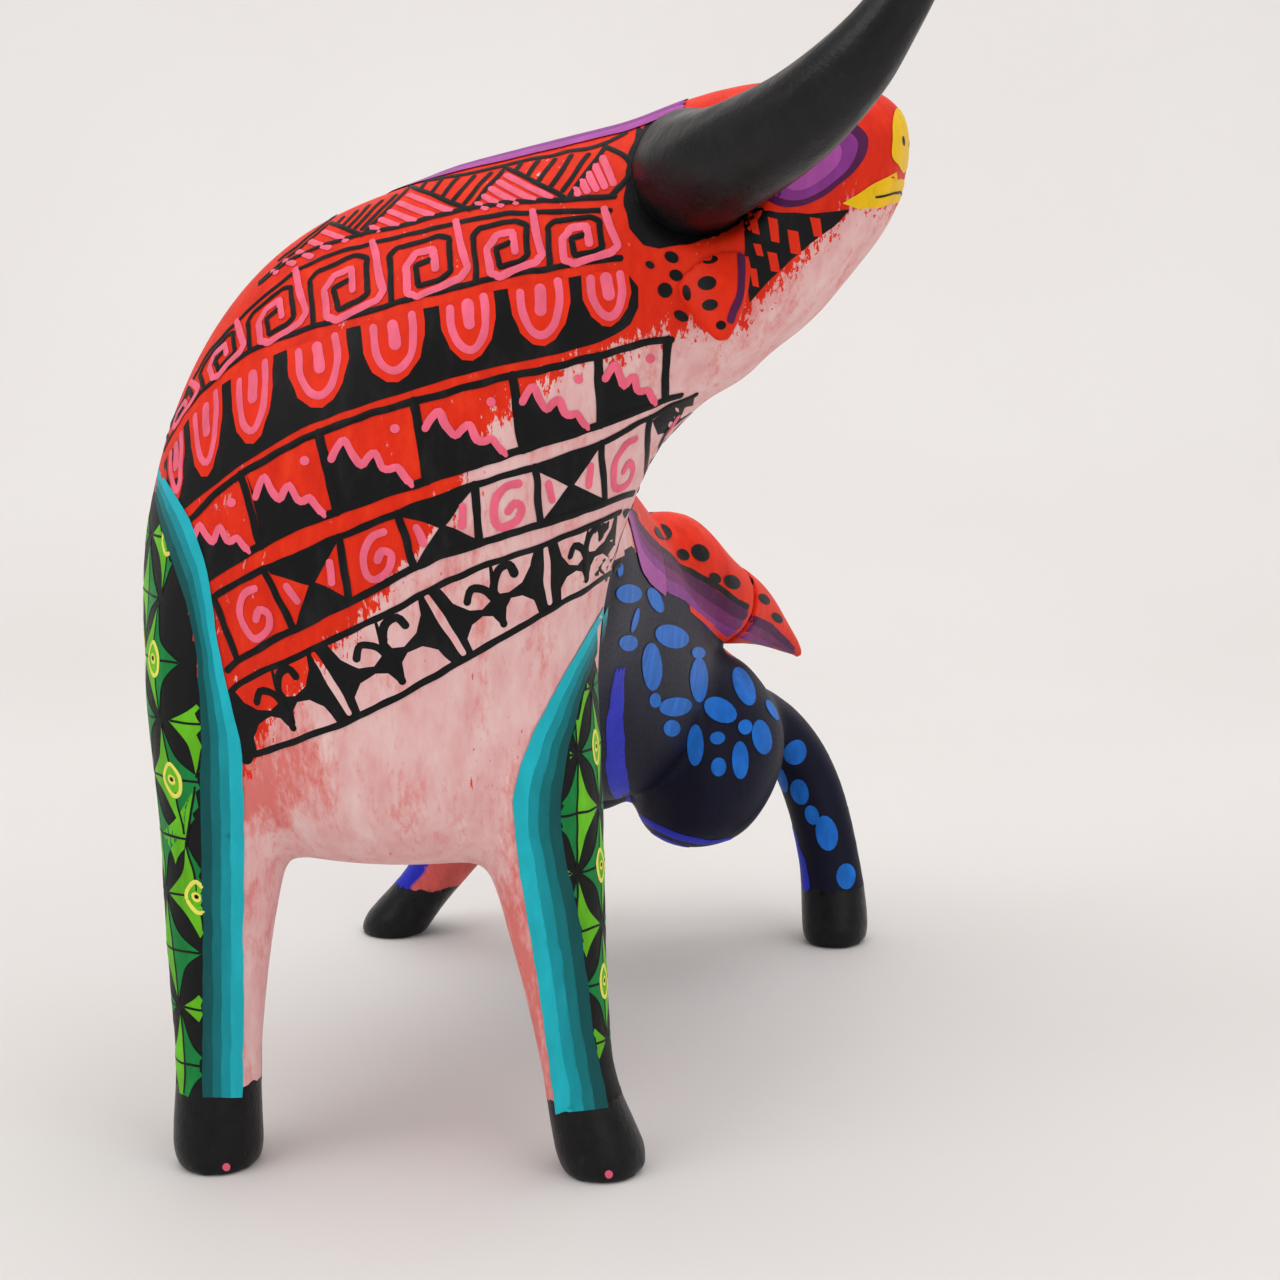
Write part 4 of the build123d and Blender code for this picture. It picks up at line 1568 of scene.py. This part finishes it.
tail_tree = smooth_copy("carved_tail", "tail", 2, 0.45, PAINTS["red"], "tail_piece")
tail_chart = chart_on(tail_tree)
# The tail carries the stripe on in the rump's plum, magenta and purple: painted shade on the lilac stripe
# paint.
for v_shift, width, colour in ((2.2, 2.6, "purple3"), (0.2, 2.6, "purple4"), (-1.8, 2.2, "purple2")):
    stroke(
        tail_chart, [
            (19, 3.6 + v_shift), (24, 1.2 + v_shift), (27.6, -0.8 + v_shift * 0.7),
            (30.2, -2.4 + v_shift * 0.3),
        ],
        width, colour, 0.1, body="tail_piece", slot="painted_tail", surface=tail_tree, taper=0.2,
    )


def tail_right(y, z):
    """Point of the far side of the tail straight across from (y, z)."""
    return cast(tail_tree, (-60, y, z), (1, 0, 0))


for y, z, radius in ((86, 94, 2.0), (92, 86, 1.7), (98, 88.5, 1.5), (104, 81, 1.2)):
    dot(tail_right, y, z, radius, "black", 0.1, body="tail_piece", slot="painted_tail", oval=0.6, tilt=-0.5)
# Magenta stroke on the far side of the tail: painted shade on the lilac stripe paint, as on the rump.
stroke(
    tail_right, [(83, 83.5), (92, 80.5), (102, 78), (109, 75.4)], 2.4, "purple4", 0.1, body="tail_piece",
    slot="painted_tail", surface=tail_tree, taper=0.3,
)
for u, v in ((21.6, 12), (24.8, 8.2), (27.4, 4.4)):
    dot(tail_chart, u, v, 1.4, "black", 0.1, body="tail_piece", slot="painted_tail", oval=0.6, tilt=-0.7)

# ---------------------------------------------------------------- the coats become pieces

PAINTS["ground"] = GROUND
for (colour, body), layer in coats.items():
    label = "paint_" + colour + "_" + body
    points = [point[:] for point in layer["points"]]
    piece = new_object(label, points, layer["faces"], [PAINTS[colour]], body)
    if colour == "ground":
        values = ground_zones(np.array(points))
        for name, data in zip(("pale", "blush", "cover"), values[:3]):
            attribute_layer = piece.data.attributes.new(name, "FLOAT", "POINT")
            attribute_layer.data.foreach_set("value", data)


def bare_wood():
    """Pale copal wood for the pegs and dowels."""
    material = bpy.data.materials.new("bare_wood")
    tree, shader = node_set(material)
    grain = noise_at(tree, 700, 5, 0.6, (1, 0.12, 0.5), 15.0)
    fibre = noise_at(tree, 2200, 3, 0.6, (1, 0.2, 0.6), 16.0)
    tone = ramp(
        tree, grain, [(0.3, (0.50, 0.33, 0.18)), (0.55, (0.63, 0.45, 0.27)), (0.75, (0.70, 0.53, 0.34))]
    )
    tree.links.new(tone, shader.inputs["Base Color"])
    tree.links.new(spread(tree, fibre, 0.55, 0.72), shader.inputs["Roughness"])
    add_bump(tree, shader, [(grain, 0.3), (fibre, 0.15)], 0.0002)
    return material


WOOD = bare_wood()
for name, node in nodes.items():
    if name.endswith("_peg") or "_peg_" in name or "dowel" in name:
        node.data.materials.clear()
        node.data.materials.append(WOOD)

# ---------------------------------------------------------------- setting

def backdrop():
    """Pale seamless sweep behind and under the figure."""
    floor = bpy.data.materials.new("backdrop")
    tree, shader = node_set(floor)
    mottled = noise_at(tree, 3, 3, 0.5)
    tree.links.new(
        ramp(tree, mottled, [(0.3, (0.73, 0.705, 0.69)), (0.7, (0.76, 0.74, 0.725))]),
        shader.inputs["Base Color"]
    )
    tree.links.new(spread(tree, mottled, 0.55, 0.7), shader.inputs["Roughness"])
    add_bump(tree, shader, [(noise_at(tree, 400, 3), 0.05)], 0.0002)
    reach, bend, top = 4.0, 0.5, 2.2
    profile = [(-reach, 0.0), (bend, 0.0)]
    profile += [
        (bend + bend * math.sin(a), bend - bend * math.cos(a)) for a in np.linspace(0.1, math.pi / 2, 14)
    ]
    profile.append((2 * bend, top))
    points, faces = [], []
    turn = Matrix.Rotation(TURN, 3, "Z")
    for along, height in profile:
        for x in (-reach, reach):
            points.append(turn @ Vector((x, along, height)))
    for k in range(len(profile) - 1):
        faces.append([2 * k, 2 * k + 1, 2 * k + 3, 2 * k + 2])
    mesh = bpy.data.meshes.new("sweep")
    mesh.from_pydata([tuple(p) for p in points], [], faces)
    mesh.polygons.foreach_set("use_smooth", [True] * len(mesh.polygons))
    mesh.materials.append(floor)
    sweep = bpy.data.objects.new("sweep", mesh)
    bpy.context.scene.collection.objects.link(sweep)


def area(name, place, target, size, power, colour):
    """Soft rectangular lamp aimed at a target."""
    light = bpy.data.lights.new(name, "AREA")
    light.shape = "RECTANGLE"
    light.size, light.size_y = size
    light.energy = power
    light.color = colour
    obj = bpy.data.objects.new(name, light)
    obj.location = place
    obj.rotation_euler = (Vector(target) - Vector(place)).to_track_quat("-Z", "Y").to_euler()
    bpy.context.scene.collection.objects.link(obj)


def lighting():
    """Four soft lamps and an even surround."""
    area("key", (-0.9, -1.0, 1.3), (0, 0, 0.1), (1.2, 1.0), 8, (1.0, 0.98, 0.96))
    area("top", (0.1, 0.1, 1.6), (0, 0.0, 0.0), (1.6, 1.6), 9.5, (1.0, 0.99, 0.98))
    area("fill", (1.2, -0.9, 0.8), (0, 0, 0.1), (1.0, 1.0), 3.6, (0.98, 0.99, 1.0))
    area("wall", (0.1, 0.35, 1.5), (-0.2, 1.2, 0.45), (1.6, 0.4), 2.6, (1.0, 0.98, 0.97))
    world = bpy.data.worlds.new("soft_world")
    world.use_nodes = True
    world.node_tree.nodes["Background"].inputs["Color"].default_value = (1.0, 0.99, 0.985, 1)
    world.node_tree.nodes["Background"].inputs["Strength"].default_value = 0.6
    bpy.context.scene.world = world


def viewpoint():
    """Camera at the standing point of the main elevation."""
    camera = bpy.data.cameras.new("camera")
    camera.sensor_width = 36.0
    camera.lens = 70.3
    camera.clip_start = 0.02
    eye = bpy.data.objects.new("camera", camera)
    eye.location = to_metres(EYE)
    eye.rotation_euler = (math.pi / 2 - DIP, 0, TURN)
    bpy.context.scene.collection.objects.link(eye)
    bpy.context.scene.camera = eye
    bpy.context.scene.view_settings.view_transform = "Standard"


backdrop()
lighting()
viewpoint()
